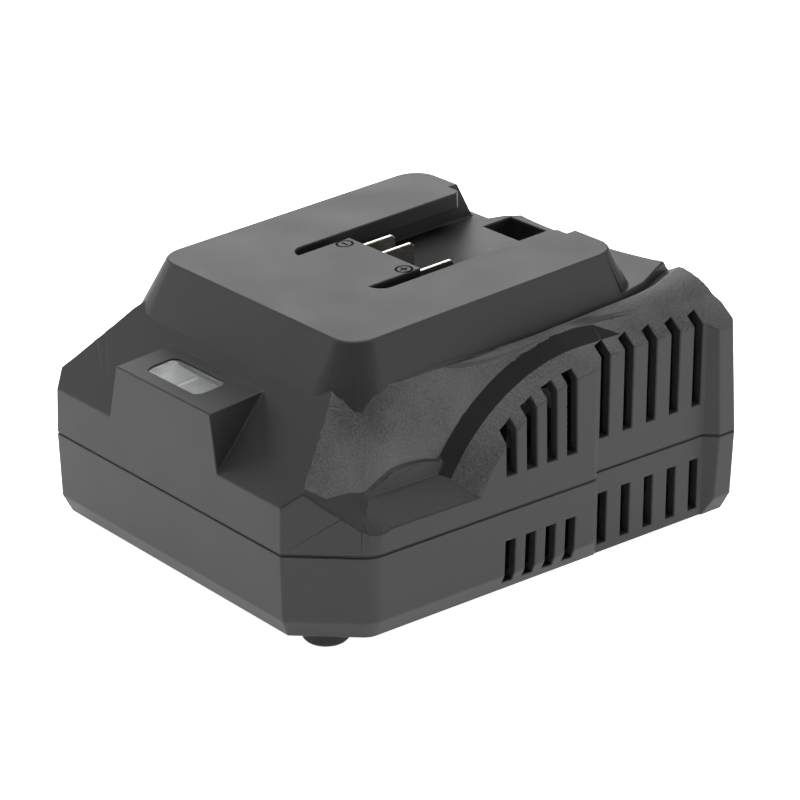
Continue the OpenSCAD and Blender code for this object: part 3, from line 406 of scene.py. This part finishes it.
# ---------------------------------------------------------------- geometry nodes


def geometry_tree(name, inputs):
    """A geometry node tree with one geometry output and named number inputs, and its input node."""
    tree = bpy.data.node_groups.new(name, "GeometryNodeTree")
    for label, value in inputs.items():
        socket = tree.interface.new_socket(name=label, in_out="INPUT", socket_type="NodeSocketFloat")
        socket.default_value = value
    tree.interface.new_socket(name="Geometry", in_out="OUTPUT", socket_type="NodeSocketGeometry")
    return tree, add(tree, "NodeGroupInput")


def finish_tree(tree, geometry, material):
    """Ends a tree: instances made real, with one material."""
    solid = add(tree, "GeometryNodeRealizeInstances", {"Geometry": geometry})
    painted = add(tree, "GeometryNodeSetMaterial", {"Geometry": (solid, "Geometry"), "Material": material})
    add(tree, "NodeGroupOutput", {"Geometry": (painted, "Geometry")})


def grown_piece(name, tree, values, node):
    """Runs a geometry tree once with its inputs set, and keeps the result as a plain mesh."""
    holder = bpy.data.objects.new(name + "_maker", bpy.data.meshes.new(name + "_maker"))
    bpy.context.scene.collection.objects.link(holder)
    maker = holder.modifiers.new("Maker", "NODES")
    maker.node_group = tree
    for socket in tree.interface.items_tree:
        if socket.in_out == "INPUT" and socket.name in values:
            maker[socket.identifier] = values[socket.name]
    holder.data.update()
    graph = bpy.context.evaluated_depsgraph_get()
    mesh = bpy.data.meshes.new_from_object(holder.evaluated_get(graph), depsgraph=graph)
    bpy.data.objects.remove(holder)
    if not mesh.vertices:
        raise RuntimeError(name + " came out empty")
    mesh.name = name
    made = link(name, mesh)
    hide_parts(node)
    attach(made, BODY)


# A screw's core radius and the radius of its thread ridge as shares of the shank diameter, the
# length of a recess arm as a share of the head diameter, and how far the screws are turned.
CORE_SHARE = 0.42
RIDGE_SHARE = 0.07
ARM_SHARE = 0.62
SCREW_TURN = 0.4


def screw_tree(name, steel, flip):
    """Cross-recess screws at the corners of a rectangle, heads down, or up when flipped."""
    tree, given = geometry_tree(name, {
        "Head diameter": 5.6 * MM, "Head height": 2 * MM, "Shank diameter": 3.5 * MM,
        "Shank length": 25 * MM, "Thread pitch": 1.2 * MM, "Recess width": 0.8 * MM,
        "Span across": 86 * MM, "Span along": 74 * MM, "Middle along": 0.0, "Seat height": 0.0})
    head_r = add(tree, MATH, {0: (given, "Head diameter"), 1: 0.5}, operation="MULTIPLY")
    shank_r = add(tree, MATH, {0: (given, "Shank diameter"), 1: CORE_SHARE}, operation="MULTIPLY")
    head = add(tree, "GeometryNodeMeshCylinder", {
        "Vertices": 40, "Radius": head_r, "Depth": (given, "Head height")})
    drop = add(tree, MATH, {0: (given, "Head height"), 1: -0.5}, operation="MULTIPLY")
    head = add(tree, "GeometryNodeTransform", {
        "Geometry": head, "Translation": add(tree, "ShaderNodeCombineXYZ", {"Z": drop})})
    arm = add(tree, MATH, {0: (given, "Head diameter"), 1: ARM_SHARE}, operation="MULTIPLY")
    wide = (given, "Recess width")
    deep = (given, "Head height")
    low = add(tree, MATH, {0: deep, 1: -1.0}, operation="MULTIPLY")
    cut = add(tree, "GeometryNodeMeshBoolean", {"Mesh 1": head}, operation="DIFFERENCE")
    for across, along in ((arm, wide), (wide, arm)):
        size = add(tree, "ShaderNodeCombineXYZ", {"X": across, "Y": along, "Z": deep})
        bar = add(tree, "GeometryNodeMeshCube", {"Size": size})
        bar = add(tree, "GeometryNodeTransform", {
            "Geometry": bar, "Translation": add(tree, "ShaderNodeCombineXYZ", {"Z": low})})
        tree.links.new(bar.outputs[0], cut.inputs["Mesh 2"])
    shank = add(tree, "GeometryNodeMeshCylinder", {
        "Vertices": 24, "Radius": shank_r, "Depth": (given, "Shank length")})
    rise = add(tree, MATH, {0: (given, "Shank length"), 1: 0.5}, operation="MULTIPLY")
    shank = add(tree, "GeometryNodeTransform", {
        "Geometry": shank, "Translation": add(tree, "ShaderNodeCombineXYZ", {"Z": rise})})
    turns = add(tree, MATH, {0: (given, "Shank length"), 1: (given, "Thread pitch")}, operation="DIVIDE")
    helix = add(tree, "GeometryNodeCurveSpiral", {
        "Resolution": 16, "Rotations": turns, "Start Radius": shank_r, "End Radius": shank_r,
        "Height": (given, "Shank length")})
    ridge_r = add(tree, MATH, {0: (given, "Shank diameter"), 1: RIDGE_SHARE}, operation="MULTIPLY")
    ridge = add(tree, "GeometryNodeCurvePrimitiveCircle", {"Resolution": 4, "Radius": ridge_r}, mode="RADIUS")
    thread = add(tree, "GeometryNodeCurveToMesh", {
        "Curve": (helix, "Curve"), "Profile Curve": (ridge, "Curve"), "Fill Caps": True})
    whole = add(tree, "GeometryNodeJoinGeometry")
    for part in (cut, shank, thread):
        tree.links.new(part.outputs[0], whole.inputs["Geometry"])
    grid = add(tree, "GeometryNodeMeshGrid", {
        "Size X": (given, "Span across"), "Size Y": (given, "Span along"), "Vertices X": 2, "Vertices Y": 2})
    middle = add(tree, "ShaderNodeCombineXYZ", {"Y": (given, "Middle along"), "Z": (given, "Seat height")})
    placed = add(tree, "GeometryNodeTransform", {"Geometry": grid, "Translation": middle})
    copies = add(tree, "GeometryNodeInstanceOnPoints", {
        "Points": placed, "Instance": (whole, "Geometry"),
        "Rotation": (math.pi if flip else 0.0, 0.0, SCREW_TURN)})
    finish_tree(tree, (copies, "Instances"), steel)
    return tree


def winding_tree(wire):
    """Turns of wire round a ring whose axis runs along the case, in two halves."""
    tree, given = geometry_tree("Choke winding", {
        "Turns": 30.0, "Wire diameter": 1.1 * MM, "Ring radius": 6.4 * MM, "Section across": 5.6 * MM,
        "Section along": 8.2 * MM, "Corner radius": 1.2 * MM, "Gap angle": 0.5,
        "Place across": 22 * MM, "Place along": 0.0, "Place height": 0.0})
    loop = add(tree, "GeometryNodeCurvePrimitiveQuadrilateral", {
        "Width": (given, "Section across"), "Height": (given, "Section along")})
    eased = add(tree, "GeometryNodeFilletCurve", {
        "Curve": (loop, "Curve"), "Radius": (given, "Corner radius"), "Count": 4}, mode="POLY")
    wire_r = add(tree, MATH, {0: (given, "Wire diameter"), 1: 0.5}, operation="MULTIPLY")
    section = add(tree, "GeometryNodeCurvePrimitiveCircle", {
        "Resolution": 8, "Radius": wire_r}, mode="RADIUS")
    turn = add(tree, "GeometryNodeCurveToMesh", {
        "Curve": (eased, "Curve"), "Profile Curve": (section, "Curve")})
    out = add(tree, "ShaderNodeCombineXYZ", {"X": (given, "Ring radius")})
    stood = add(tree, "GeometryNodeTransform", {
        "Geometry": turn, "Rotation": (math.pi / 2, 0.0, 0.0), "Translation": out})
    count = (given, "Turns")
    line = add(tree, "GeometryNodeMeshLine", {"Count": count, "Offset": (0.0, 0.0, 0.0)})
    index = add(tree, "GeometryNodeInputIndex")
    half = add(tree, MATH, {0: count, 1: 0.5}, operation="MULTIPLY")
    side = add(tree, MATH, {0: index, 1: half}, operation="DIVIDE")
    side = add(tree, MATH, {0: side}, operation="FLOOR")
    before = add(tree, MATH, {0: side, 1: half}, operation="MULTIPLY")
    spot = add(tree, MATH, {0: index, 1: before}, operation="SUBTRACT")
    spot = add(tree, MATH, {0: spot, 1: 0.5}, operation="ADD")
    swept = add(tree, MATH, {0: math.pi, 1: (given, "Gap angle")}, operation="SUBTRACT")
    step = add(tree, MATH, {0: swept, 1: half}, operation="DIVIDE")
    angle = add(tree, MATH, {0: spot, 1: step}, operation="MULTIPLY")
    start = add(tree, MATH, {0: side, 1: math.pi}, operation="MULTIPLY")
    start = add(tree, MATH, {0: start, 1: -math.pi / 2}, operation="ADD")
    gap = add(tree, MATH, {0: (given, "Gap angle"), 1: 0.5}, operation="MULTIPLY")
    total = add(tree, MATH, {0: angle, 1: start}, operation="ADD")
    total = add(tree, MATH, {0: total, 1: gap}, operation="ADD")
    copies = add(tree, "GeometryNodeInstanceOnPoints", {
        "Points": (line, "Mesh"), "Instance": stood,
        "Rotation": add(tree, "ShaderNodeCombineXYZ", {"Z": total})})
    place = add(tree, "ShaderNodeCombineXYZ", {
        "X": (given, "Place across"), "Y": (given, "Place along"), "Z": (given, "Place height")})
    placed = add(tree, "GeometryNodeTransform", {
        "Geometry": (copies, "Instances"), "Rotation": (math.pi / 2, 0.0, 0.0), "Translation": place})
    finish_tree(tree, placed, wire)
    return tree


# ---------------------------------------------------------------- sizes and tones a user would change


class CaseSettings(bpy.types.PropertyGroup):
    """Edges, colour and grain of the shells"""

    edge_radius: bpy.props.FloatProperty(
        name="Edge radius", description="Moulded radius on the outer edges of the shells",
        default=0.3 * MM, min=0.0, max=1 * MM, unit="LENGTH", precision=5)
    dark_tone: bpy.props.StringProperty(
        name="Dark tone", description="Darker tone of the satin case plastic, as an sRGB hex code",
        default="2b2b2c", maxlen=6)
    light_tone: bpy.props.StringProperty(
        name="Light tone", description="Lighter tone of the satin case plastic, as an sRGB hex code",
        default="313133", maxlen=6)
    grain_size: bpy.props.FloatProperty(
        name="Grain size", description="Spacing of the spark-eroded grain on the shoulders, in millimetres",
        default=0.8, min=0.3, max=3.0)
    grain_depth: bpy.props.FloatProperty(
        name="Grain depth", description="Depth of the grain on the shoulders, in millimetres",
        default=0.18, min=0.0, max=0.3)


class StudioSettings(bpy.types.PropertyGroup):
    """Camera and surroundings"""

    lens: bpy.props.FloatProperty(
        name="Lens", description="Focal length of the camera in millimetres", default=141.2, min=20, max=400)
    backdrop: bpy.props.FloatProperty(
        name="Backdrop light", description="Strength of the white surroundings",
        default=0.04, min=0.0, max=3.0)


# ---------------------------------------------------------------- the pieces

# The upper shell's finishes, in the order of its material slots; the grained one is lightened with painted
# sheen and the smooth one darkened with painted shade.
SATIN, COARSE_SHEEN, SMOOTH_SHADED = range(3)


def on_band(face):
    """Whether a face lies on the smooth band between the crown and the rim of a fender."""
    across = (RIM[1] - BAND_SLACK, CROWN[1] + BAND_SLACK)
    radii = (CROWN[0] - BAND_SLACK, RIM[0] + BAND_SLACK)
    return within(abs(face.normal.x), BAND_SLOPES) and face.normal.z > 0 and all(
        within(abs(vert.co.x) / MM, across) and within(arch_radius(vert.co), radii) for vert in face.verts)


def on_crescent(face):
    """Whether a face lies on the low crescent wall between shoulder and ledge."""
    x, y, z = case_place(face.calc_center_median())
    return (abs(face.normal.x) > CRESCENT_UPRIGHT and within(abs(x), CRESCENT_ACROSS)
            and within(z, CRESCENT_HEIGHT) and y < ARCH_Y)


def on_dock(face):
    """Whether a face lies on a drafted wall of the dock."""
    return within(face.normal.z, DOCK_SLOPES) and abs(face.calc_center_median().x) < DOCK_FOOT * MM


class MakeShells(bpy.types.Operator):
    """Dress the two case shells"""

    bl_idname = "charger.shells"
    bl_label = "Case shells"

    def execute(self, context):
        case = context.scene.charger_case
        plus_side = math.copysign(1, sum(corner.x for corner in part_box("blade_positive")))
        # Moulded against a fine-blasted tool: an even, soft sheen on a dark charcoal, with the polarity marks
        # in painted shade.
        satin = moulded(
            "Satin moulded ABS", case.dark_tone, case.light_tone, 0.5, 0.35, 0.012, specular=0.35,
            plus_side=plus_side)
        # Moulded against a spark-eroded tool: a speckled, matt surface that scatters the light; the speckle
        # is real grain, its lighter grey is painted sheen.
        grained = moulded(
            "Spark-eroded grained ABS", "2e2e2f", "545456", 0.6, 0.45, case.grain_depth, 0.6, case.grain_size)
        # Moulded against a tool with a high polish: sharper reflections; its darker tone than the satin is
        # painted shade.
        polished_shaded = moulded("Polished moulded ABS", "1f1f20", "242426", 0.34, 0.3, 0.004, specular=0.3)
        bm = merged_copy("upper_case", upper_tidy)
        for side in (-1, 1):
            for seed in GRAINED:
                for face in grow(bm, case_point(side * seed[0], *seed[1:]), GRAIN_BEND):
                    face.material_index = SATIN if on_dock(face) else COARSE_SHEEN
        # The band and the crescent wall take the darker finish, whose tone is painted shade.
        for face in bm.faces:
            if on_band(face) or on_crescent(face):
                face.material_index = SMOOTH_SHADED
        for edge in bm.edges:
            if len({face.material_index for face in edge.link_faces}) > 1:
                edge.smooth = False
        width = case.edge_radius / MM
        dress("upper_shell", "upper_case", "case_plastic", width, satin, grained, polished_shaded, bm=bm)
        lower = merged_copy("lower_case", lower_tidy)
        dress("lower_shell", "lower_case", "case_plastic", width, satin, bm=lower)
        return {"FINISHED"}


class MakeFeet(bpy.types.Operator):
    """Dress the rubber feet"""

    bl_idname = "charger.feet"
    bl_label = "Feet"

    def execute(self, context):
        # Soft moulded rubber: near black and matt, with a fine grain.
        rubber = moulded("Moulded thermoplastic rubber", "161616", "1e1e1e", 0.75, 0.6, 0.03)
        dress("feet", "rubber_feet", "foot_rubber", 0.25, rubber)
        return {"FINISHED"}


# The screws: node, piece and title, whether the heads are up, and in millimetres the diameter and
# height of the head, the shank diameter, the thread pitch and the recess width.
SCREWS = [
    ("case_screws", "case_screw_set", "Case screws", False, 5.6, 2, 3.5, 1.2, 0.8),
    ("board_screws", "board_screw_set", "Board screws", True, 5.4, 1.8, 2.5, 1, 0.7),
]
# A shank ends this far before the tip of the CAD screw.
SHANK_SHORT = 0.3 * MM


class MakeScrews(bpy.types.Operator):
    """Make the case screws and the board screws"""

    bl_idname = "charger.screws"
    bl_label = "Screws"

    def execute(self, context):
        # Cold-headed and zinc-plated: bright, with fine uneven streaks in the plating.
        steel = metal("Zinc-plated steel, cold headed", "8a8c90", "b4b6ba", 0.3, 0.2)
        for node, piece, title, up, head, height, shank, pitch, recess in SCREWS:
            lo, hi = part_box(node)
            seat = hi.z - height * MM if up else lo.z + height * MM
            reach = seat - lo.z if up else hi.z - seat
            values = {
                "Head diameter": head * MM, "Head height": height * MM, "Shank diameter": shank * MM,
                "Shank length": reach - SHANK_SHORT, "Thread pitch": pitch * MM, "Recess width": recess * MM,
                "Span across": hi.x - lo.x - head * MM, "Span along": hi.y - lo.y - head * MM,
                "Middle along": (lo.y + hi.y) / 2, "Seat height": seat}
            grown_piece(piece, screw_tree(title, steel, up), values, node)
        return {"FINISHED"}


def clear_plastic(name, tint, rough, clearness=0.9):
    """Clear moulding: light passes, with a faint flow pattern in the gloss."""
    made, tree, mm = new_material(name)
    flow = add(tree, "ShaderNodeTexNoise", {"Vector": mm, "Scale": 1 / FLOW, "Detail": 2.0})
    colour = two_tone(tree, (flow, "Fac"), tint, "ffffff")
    bump = add(tree, "ShaderNodeBump", {"Height": (flow, "Fac"), "Distance": 0.01 * MM, "Strength": 0.5})
    gloss = add(tree, "ShaderNodeMapRange", {"Value": (flow, "Fac"), "To Min": rough, "To Max": rough + 0.05})
    shader = add(tree, "ShaderNodeBsdfPrincipled", {
        "Base Color": (colour, "Color"), "Roughness": (gloss, "Result"), "Normal": (bump, "Normal"),
        "Transmission Weight": clearness, "IOR": 1.58, "Specular IOR Level": 0.2})
    add(tree, "ShaderNodeOutputMaterial", {"Surface": shader})
    return made


class MakeIndicator(bpy.types.Operator):
    """Dress the indicator window, its baffle, board and lamps"""

    bl_idname = "charger.indicator"
    bl_label = "Indicator"

    def execute(self, context):
        # Polished clear moulding: the baffle shows through it, and its rim catches the light.
        clear = clear_plastic("Clear moulded polycarbonate", "e8eef2", 0.06)
        dress("indicator_window", "led_window", "clear_window", 0.35, clear)
        # Opaque white moulding: spreads the lamps' light behind the window.
        white = moulded("White moulded polystyrene", "c9c8c4", "dddcd8", 0.4, 0.4, 0.01)
        dress("indicator_baffle", "led_baffle", "white_plastic", 0.1, white)
        # Cast epoxy with diffuser: half clear, milky colour.
        paint(clear_plastic("Red diffused epoxy", "c02020", 0.15, 0.5), "red_led")
        paint(clear_plastic("Green diffused epoxy", "30a040", 0.15, 0.5), "green_led")
        return {"FINISHED"}


class MakeContacts(bpy.types.Operator):
    """Dress the contact blades and their block"""

    bl_idname = "charger.contacts"
    bl_label = "Contacts"

    def execute(self, context):
        # Stamped and plated strip: a warm, bright metal with streaks along the rolling direction.
        nickel = metal("Nickel-plated bronze, stamped", "b9b4aa", "dedad2", 0.2, 0.3, (1, 0.15, 1))
        for sign in ("negative", "signal", "positive"):
            dress("contact_" + sign, "blade_" + sign, "nickel_blade", 0.15, nickel)
        # Glass fibres near the surface: a dull black with a fine roughness.
        nylon = moulded("Glass-filled nylon", "18181a", "222224", 0.5, 0.3, 0.02)
        dress("contact_block", "terminal_block", "black_moulding", 0.15, nylon)
        return {"FINISHED"}


class MakeInlet(bpy.types.Operator):
    """Dress the mains inlet and its pins"""

    bl_idname = "charger.inlet"
    bl_label = "Mains inlet"

    def execute(self, context):
        # Plain moulded socket: slightly glossier than the case round it.
        black = moulded("Moulded flame-retardant nylon", "161617", "202022", 0.42, 0.3, 0.01)
        dress("inlet_socket", "mains_inlet", "black_moulding", 0.25, black)
        # Turned and plated pins: bright, with small glints.
        nickel = metal("Nickel-plated brass, turned", "b9b4aa", "dedad2", 0.22, 0.25)
        dress("inlet_contacts", "inlet_pins", "nickel_blade", 0.2, nickel)
        return {"FINISHED"}


def laminate(name):
    """Glass-epoxy board under green resist: light bars of copper parted by narrow, darker lines."""
    made, tree, mm = new_material(name)
    tracks = add(tree, "ShaderNodeTexBrick", {
        "Vector": mm, "Scale": 1.0, "Brick Width": 9.0, "Row Height": 2.4, "Mortar Size": 0.35,
        "Color1": linear("14532b"), "Color2": linear("185c31"), "Mortar": linear("0c3a1d")})
    weave = add(tree, "ShaderNodeTexNoise", {"Vector": mm, "Scale": 1 / WEAVE, "Detail": 3.0})
    bump = add(tree, "ShaderNodeBump", {"Height": (tracks, "Fac"), "Distance": 0.035 * MM, "Strength": 1.0})
    gloss = add(tree, "ShaderNodeMapRange", {"Value": (weave, "Fac"), "To Min": 0.22, "To Max": 0.38})
    shader = add(tree, "ShaderNodeBsdfPrincipled", {
        "Base Color": (tracks, "Color"), "Roughness": (gloss, "Result"), "Normal": (bump, "Normal"),
        "IOR": 1.5})
    add(tree, "ShaderNodeOutputMaterial", {"Surface": shader})
    return made


# Circuit pieces that keep their CAD mesh: finish, dark and light tone, roughness, spacing and depth
# of its grain in millimetres, and the nodes that carry it.
PLAIN = [
    # Extruded soft vinyl: smooth, with a long, weak gloss.
    ("Extruded PVC insulation", "6a1210", "7c1a16", 0.35, 0.5, 0.01,
     ("led_leads", "terminal_leads", "mains_leads")),
    # Fired powder: dead matt dark grey with fine pores.
    ("Sintered ferrite", "2c2d30", "3a3b3f", 0.7, 0.2, 0.02, ("choke_core", "transformer_core")),
    # Transfer-moulded resin: matt black.
    ("Epoxy moulding compound", "141415", "1c1c1e", 0.55, 0.15, 0.01,
     ("bridge_rectifier", "controller_chips", "switching_transistor", "output_diode")),
    # Shrunk film: glossy dark blue.
    ("Printed PET sleeve", "101a3c", "16224c", 0.25, 0.8, 0.004, ("bulk_capacitor", "output_capacitors")),
    # Moulded box: plain yellow with a soft gloss.
    ("Boxed polyester film capacitor", "b98a12", "c99a1c", 0.35, 0.5, 0.01, ("line_capacitor",)),
    # Glazed tube: off-white and glassy.
    ("Glazed ceramic tube", "c2beb4", "d6d2c8", 0.3, 0.5, 0.006, ("fuse",)),
    # Moulded frame: plain white, satin.
    ("White moulded polyester bobbin", "c4c2bc", "d4d2cc", 0.45, 0.4, 0.01, ("transformer_bobbin",)),
    # Wrapped tape: yellow, glossy and slightly wavy.
    ("Polyester winding tape", "c79a1a", "d8ab26", 0.3, 1.2, 0.02, ("transformer_winding",)),
]


class MakeElectronics(bpy.types.Operator):
    """Finish the circuit pieces inside the case"""

    bl_idname = "charger.electronics"
    bl_label = "Circuit pieces"

    def execute(self, context):
        # Solder resist over copper and glass cloth: green, half glossy.
        paint(laminate("Glass-epoxy laminate with green resist"), "main_board", "led_board")
        for *finish, nodes in PLAIN:
            paint(moulded(*finish), *nodes)
        # Extruded and left plain: pale, with die lines along its height.
        paint(metal("Extruded aluminium, plain", "a8aaac", "c8cacc", 0.35, 0.3, (1, 1, 0.05)), "heatsink")
        # Drawn wire under clear enamel: a deep, shiny red-brown.
        copper = metal("Enamelled copper wire", "8a4318", "b86428", 0.25, 0.4)
        lo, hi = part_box("choke_core")
        values = {
            "Place across": (lo.x + hi.x) / 2, "Place along": (lo.y + hi.y) / 2,
            "Place height": (lo.z + hi.z) / 2}
        grown_piece("choke_turns", winding_tree(copper), values, "choke_winding")
        return {"FINISHED"}


# Studio lamps: name, place, size across and down in metres, power in watts.
LAMPS = [
    ("top softbox", (-0.1, 0.1, 1.2), (1.4, 1.4), 16),
    ("rear left softbox", (-1.1, 0.9, 0.5), (1.2, 0.6), 9),
    ("left softbox", (-1.3, -0.3, 0.45), (0.9, 0.6), 4),
    ("low front left softbox", (-1.0, -1.0, 0.13), (1.0, 0.24), 2.5),
    ("rear right softbox", (1.2, 1.0, 0.35), (0.9, 0.6), 5.5),
]
# The point that the lamps aim at, half the size of the floor, and the camera's place and turn.
AIM = Vector((0, 0, 0.03))
FLOOR_HALF = 3.0
EYE = (0.53618, -0.43345, 0.32070)
EYE_TURN = (math.radians(67.11), 0, math.radians(50.67))
SENSOR = 36


def make_floor():
    """A plain floor at the feet."""
    far = FLOOR_HALF
    mesh = bpy.data.meshes.new("floor")
    mesh.from_pydata([(-far, -far, 0), (far, -far, 0), (far, far, 0), (-far, far, 0)], [], [(0, 1, 2, 3)])
    # White paper lit from all round: it glows, so that it stays white and lights the case from below.
    paper, tree, mm = new_material("Matte studio paper")
    tone = add(tree, "ShaderNodeTexNoise", {"Vector": mm, "Scale": 1 / CLOUD})
    colour = two_tone(tree, (tone, "Fac"), "fafafa", "ffffff")
    shader = add(tree, "ShaderNodeBsdfPrincipled", {
        "Base Color": (colour, "Color"), "Roughness": 0.9, "Emission Color": linear("ffffff"),
        "Emission Strength": 1.0})
    add(tree, "ShaderNodeOutputMaterial", {"Surface": shader})
    link("floor", mesh, paper)


class MakeStage(bpy.types.Operator):
    """Set the floor, the lights and the camera"""

    bl_idname = "charger.stage"
    bl_label = "Studio"

    def execute(self, context):
        scene = context.scene
        studio = scene.charger_studio
        make_floor()
        scene.view_settings.view_transform = "Standard"
        world = bpy.data.worlds.new("Studio surroundings")
        scene.world = world
        world.use_nodes = True
        sky = world.node_tree.nodes["Background"].inputs
        sky["Color"].default_value = linear("ffffff")
        sky["Strength"].default_value = studio.backdrop
        for name, place, size, power in LAMPS:
            lamp = bpy.data.lights.new(name, "AREA")
            lamp.shape = "RECTANGLE"
            lamp.size, lamp.size_y = size
            lamp.energy = power
            holder = bpy.data.objects.new(name, lamp)
            scene.collection.objects.link(holder)
            holder.location = place
            holder.rotation_euler = (AIM - Vector(place)).to_track_quat("-Z", "Y").to_euler()
        lens = bpy.data.cameras.new("camera")
        lens.lens = studio.lens
        lens.sensor_width = SENSOR
        eye = bpy.data.objects.new("camera", lens)
        scene.collection.objects.link(eye)
        eye.location = EYE
        eye.rotation_euler = EYE_TURN
        scene.camera = eye
        return {"FINISHED"}


OPERATORS = [
    MakeShells, MakeFeet, MakeScrews, MakeIndicator, MakeContacts, MakeInlet, MakeElectronics, MakeStage]


class ChargerPanel(bpy.types.Panel):
    """Lists the settings and the steps"""

    bl_idname = "VIEW3D_PT_charger"
    bl_label = "Battery charger"
    bl_space_type = "VIEW_3D"
    bl_region_type = "UI"
    bl_category = "Charger"

    def draw(self, context):
        for group in (context.scene.charger_case, context.scene.charger_studio):
            box = self.layout.box()
            for name in group.__annotations__:
                box.prop(group, name)
        for step in OPERATORS:
            self.layout.operator(step.bl_idname)


CLASSES = [CaseSettings, StudioSettings] + OPERATORS + [ChargerPanel]


def register():
    for part in CLASSES:
        bpy.utils.register_class(part)
    bpy.types.Scene.charger_case = bpy.props.PointerProperty(type=CaseSettings)
    bpy.types.Scene.charger_studio = bpy.props.PointerProperty(type=StudioSettings)


def unregister():
    del bpy.types.Scene.charger_studio
    del bpy.types.Scene.charger_case
    for part in reversed(CLASSES):
        bpy.utils.unregister_class(part)


def main():
    """Registers the add-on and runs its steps."""
    register()
    for step in OPERATORS:
        getattr(bpy.ops.charger, step.bl_idname.split(".")[1])()


if __name__ == "__main__":
    main()
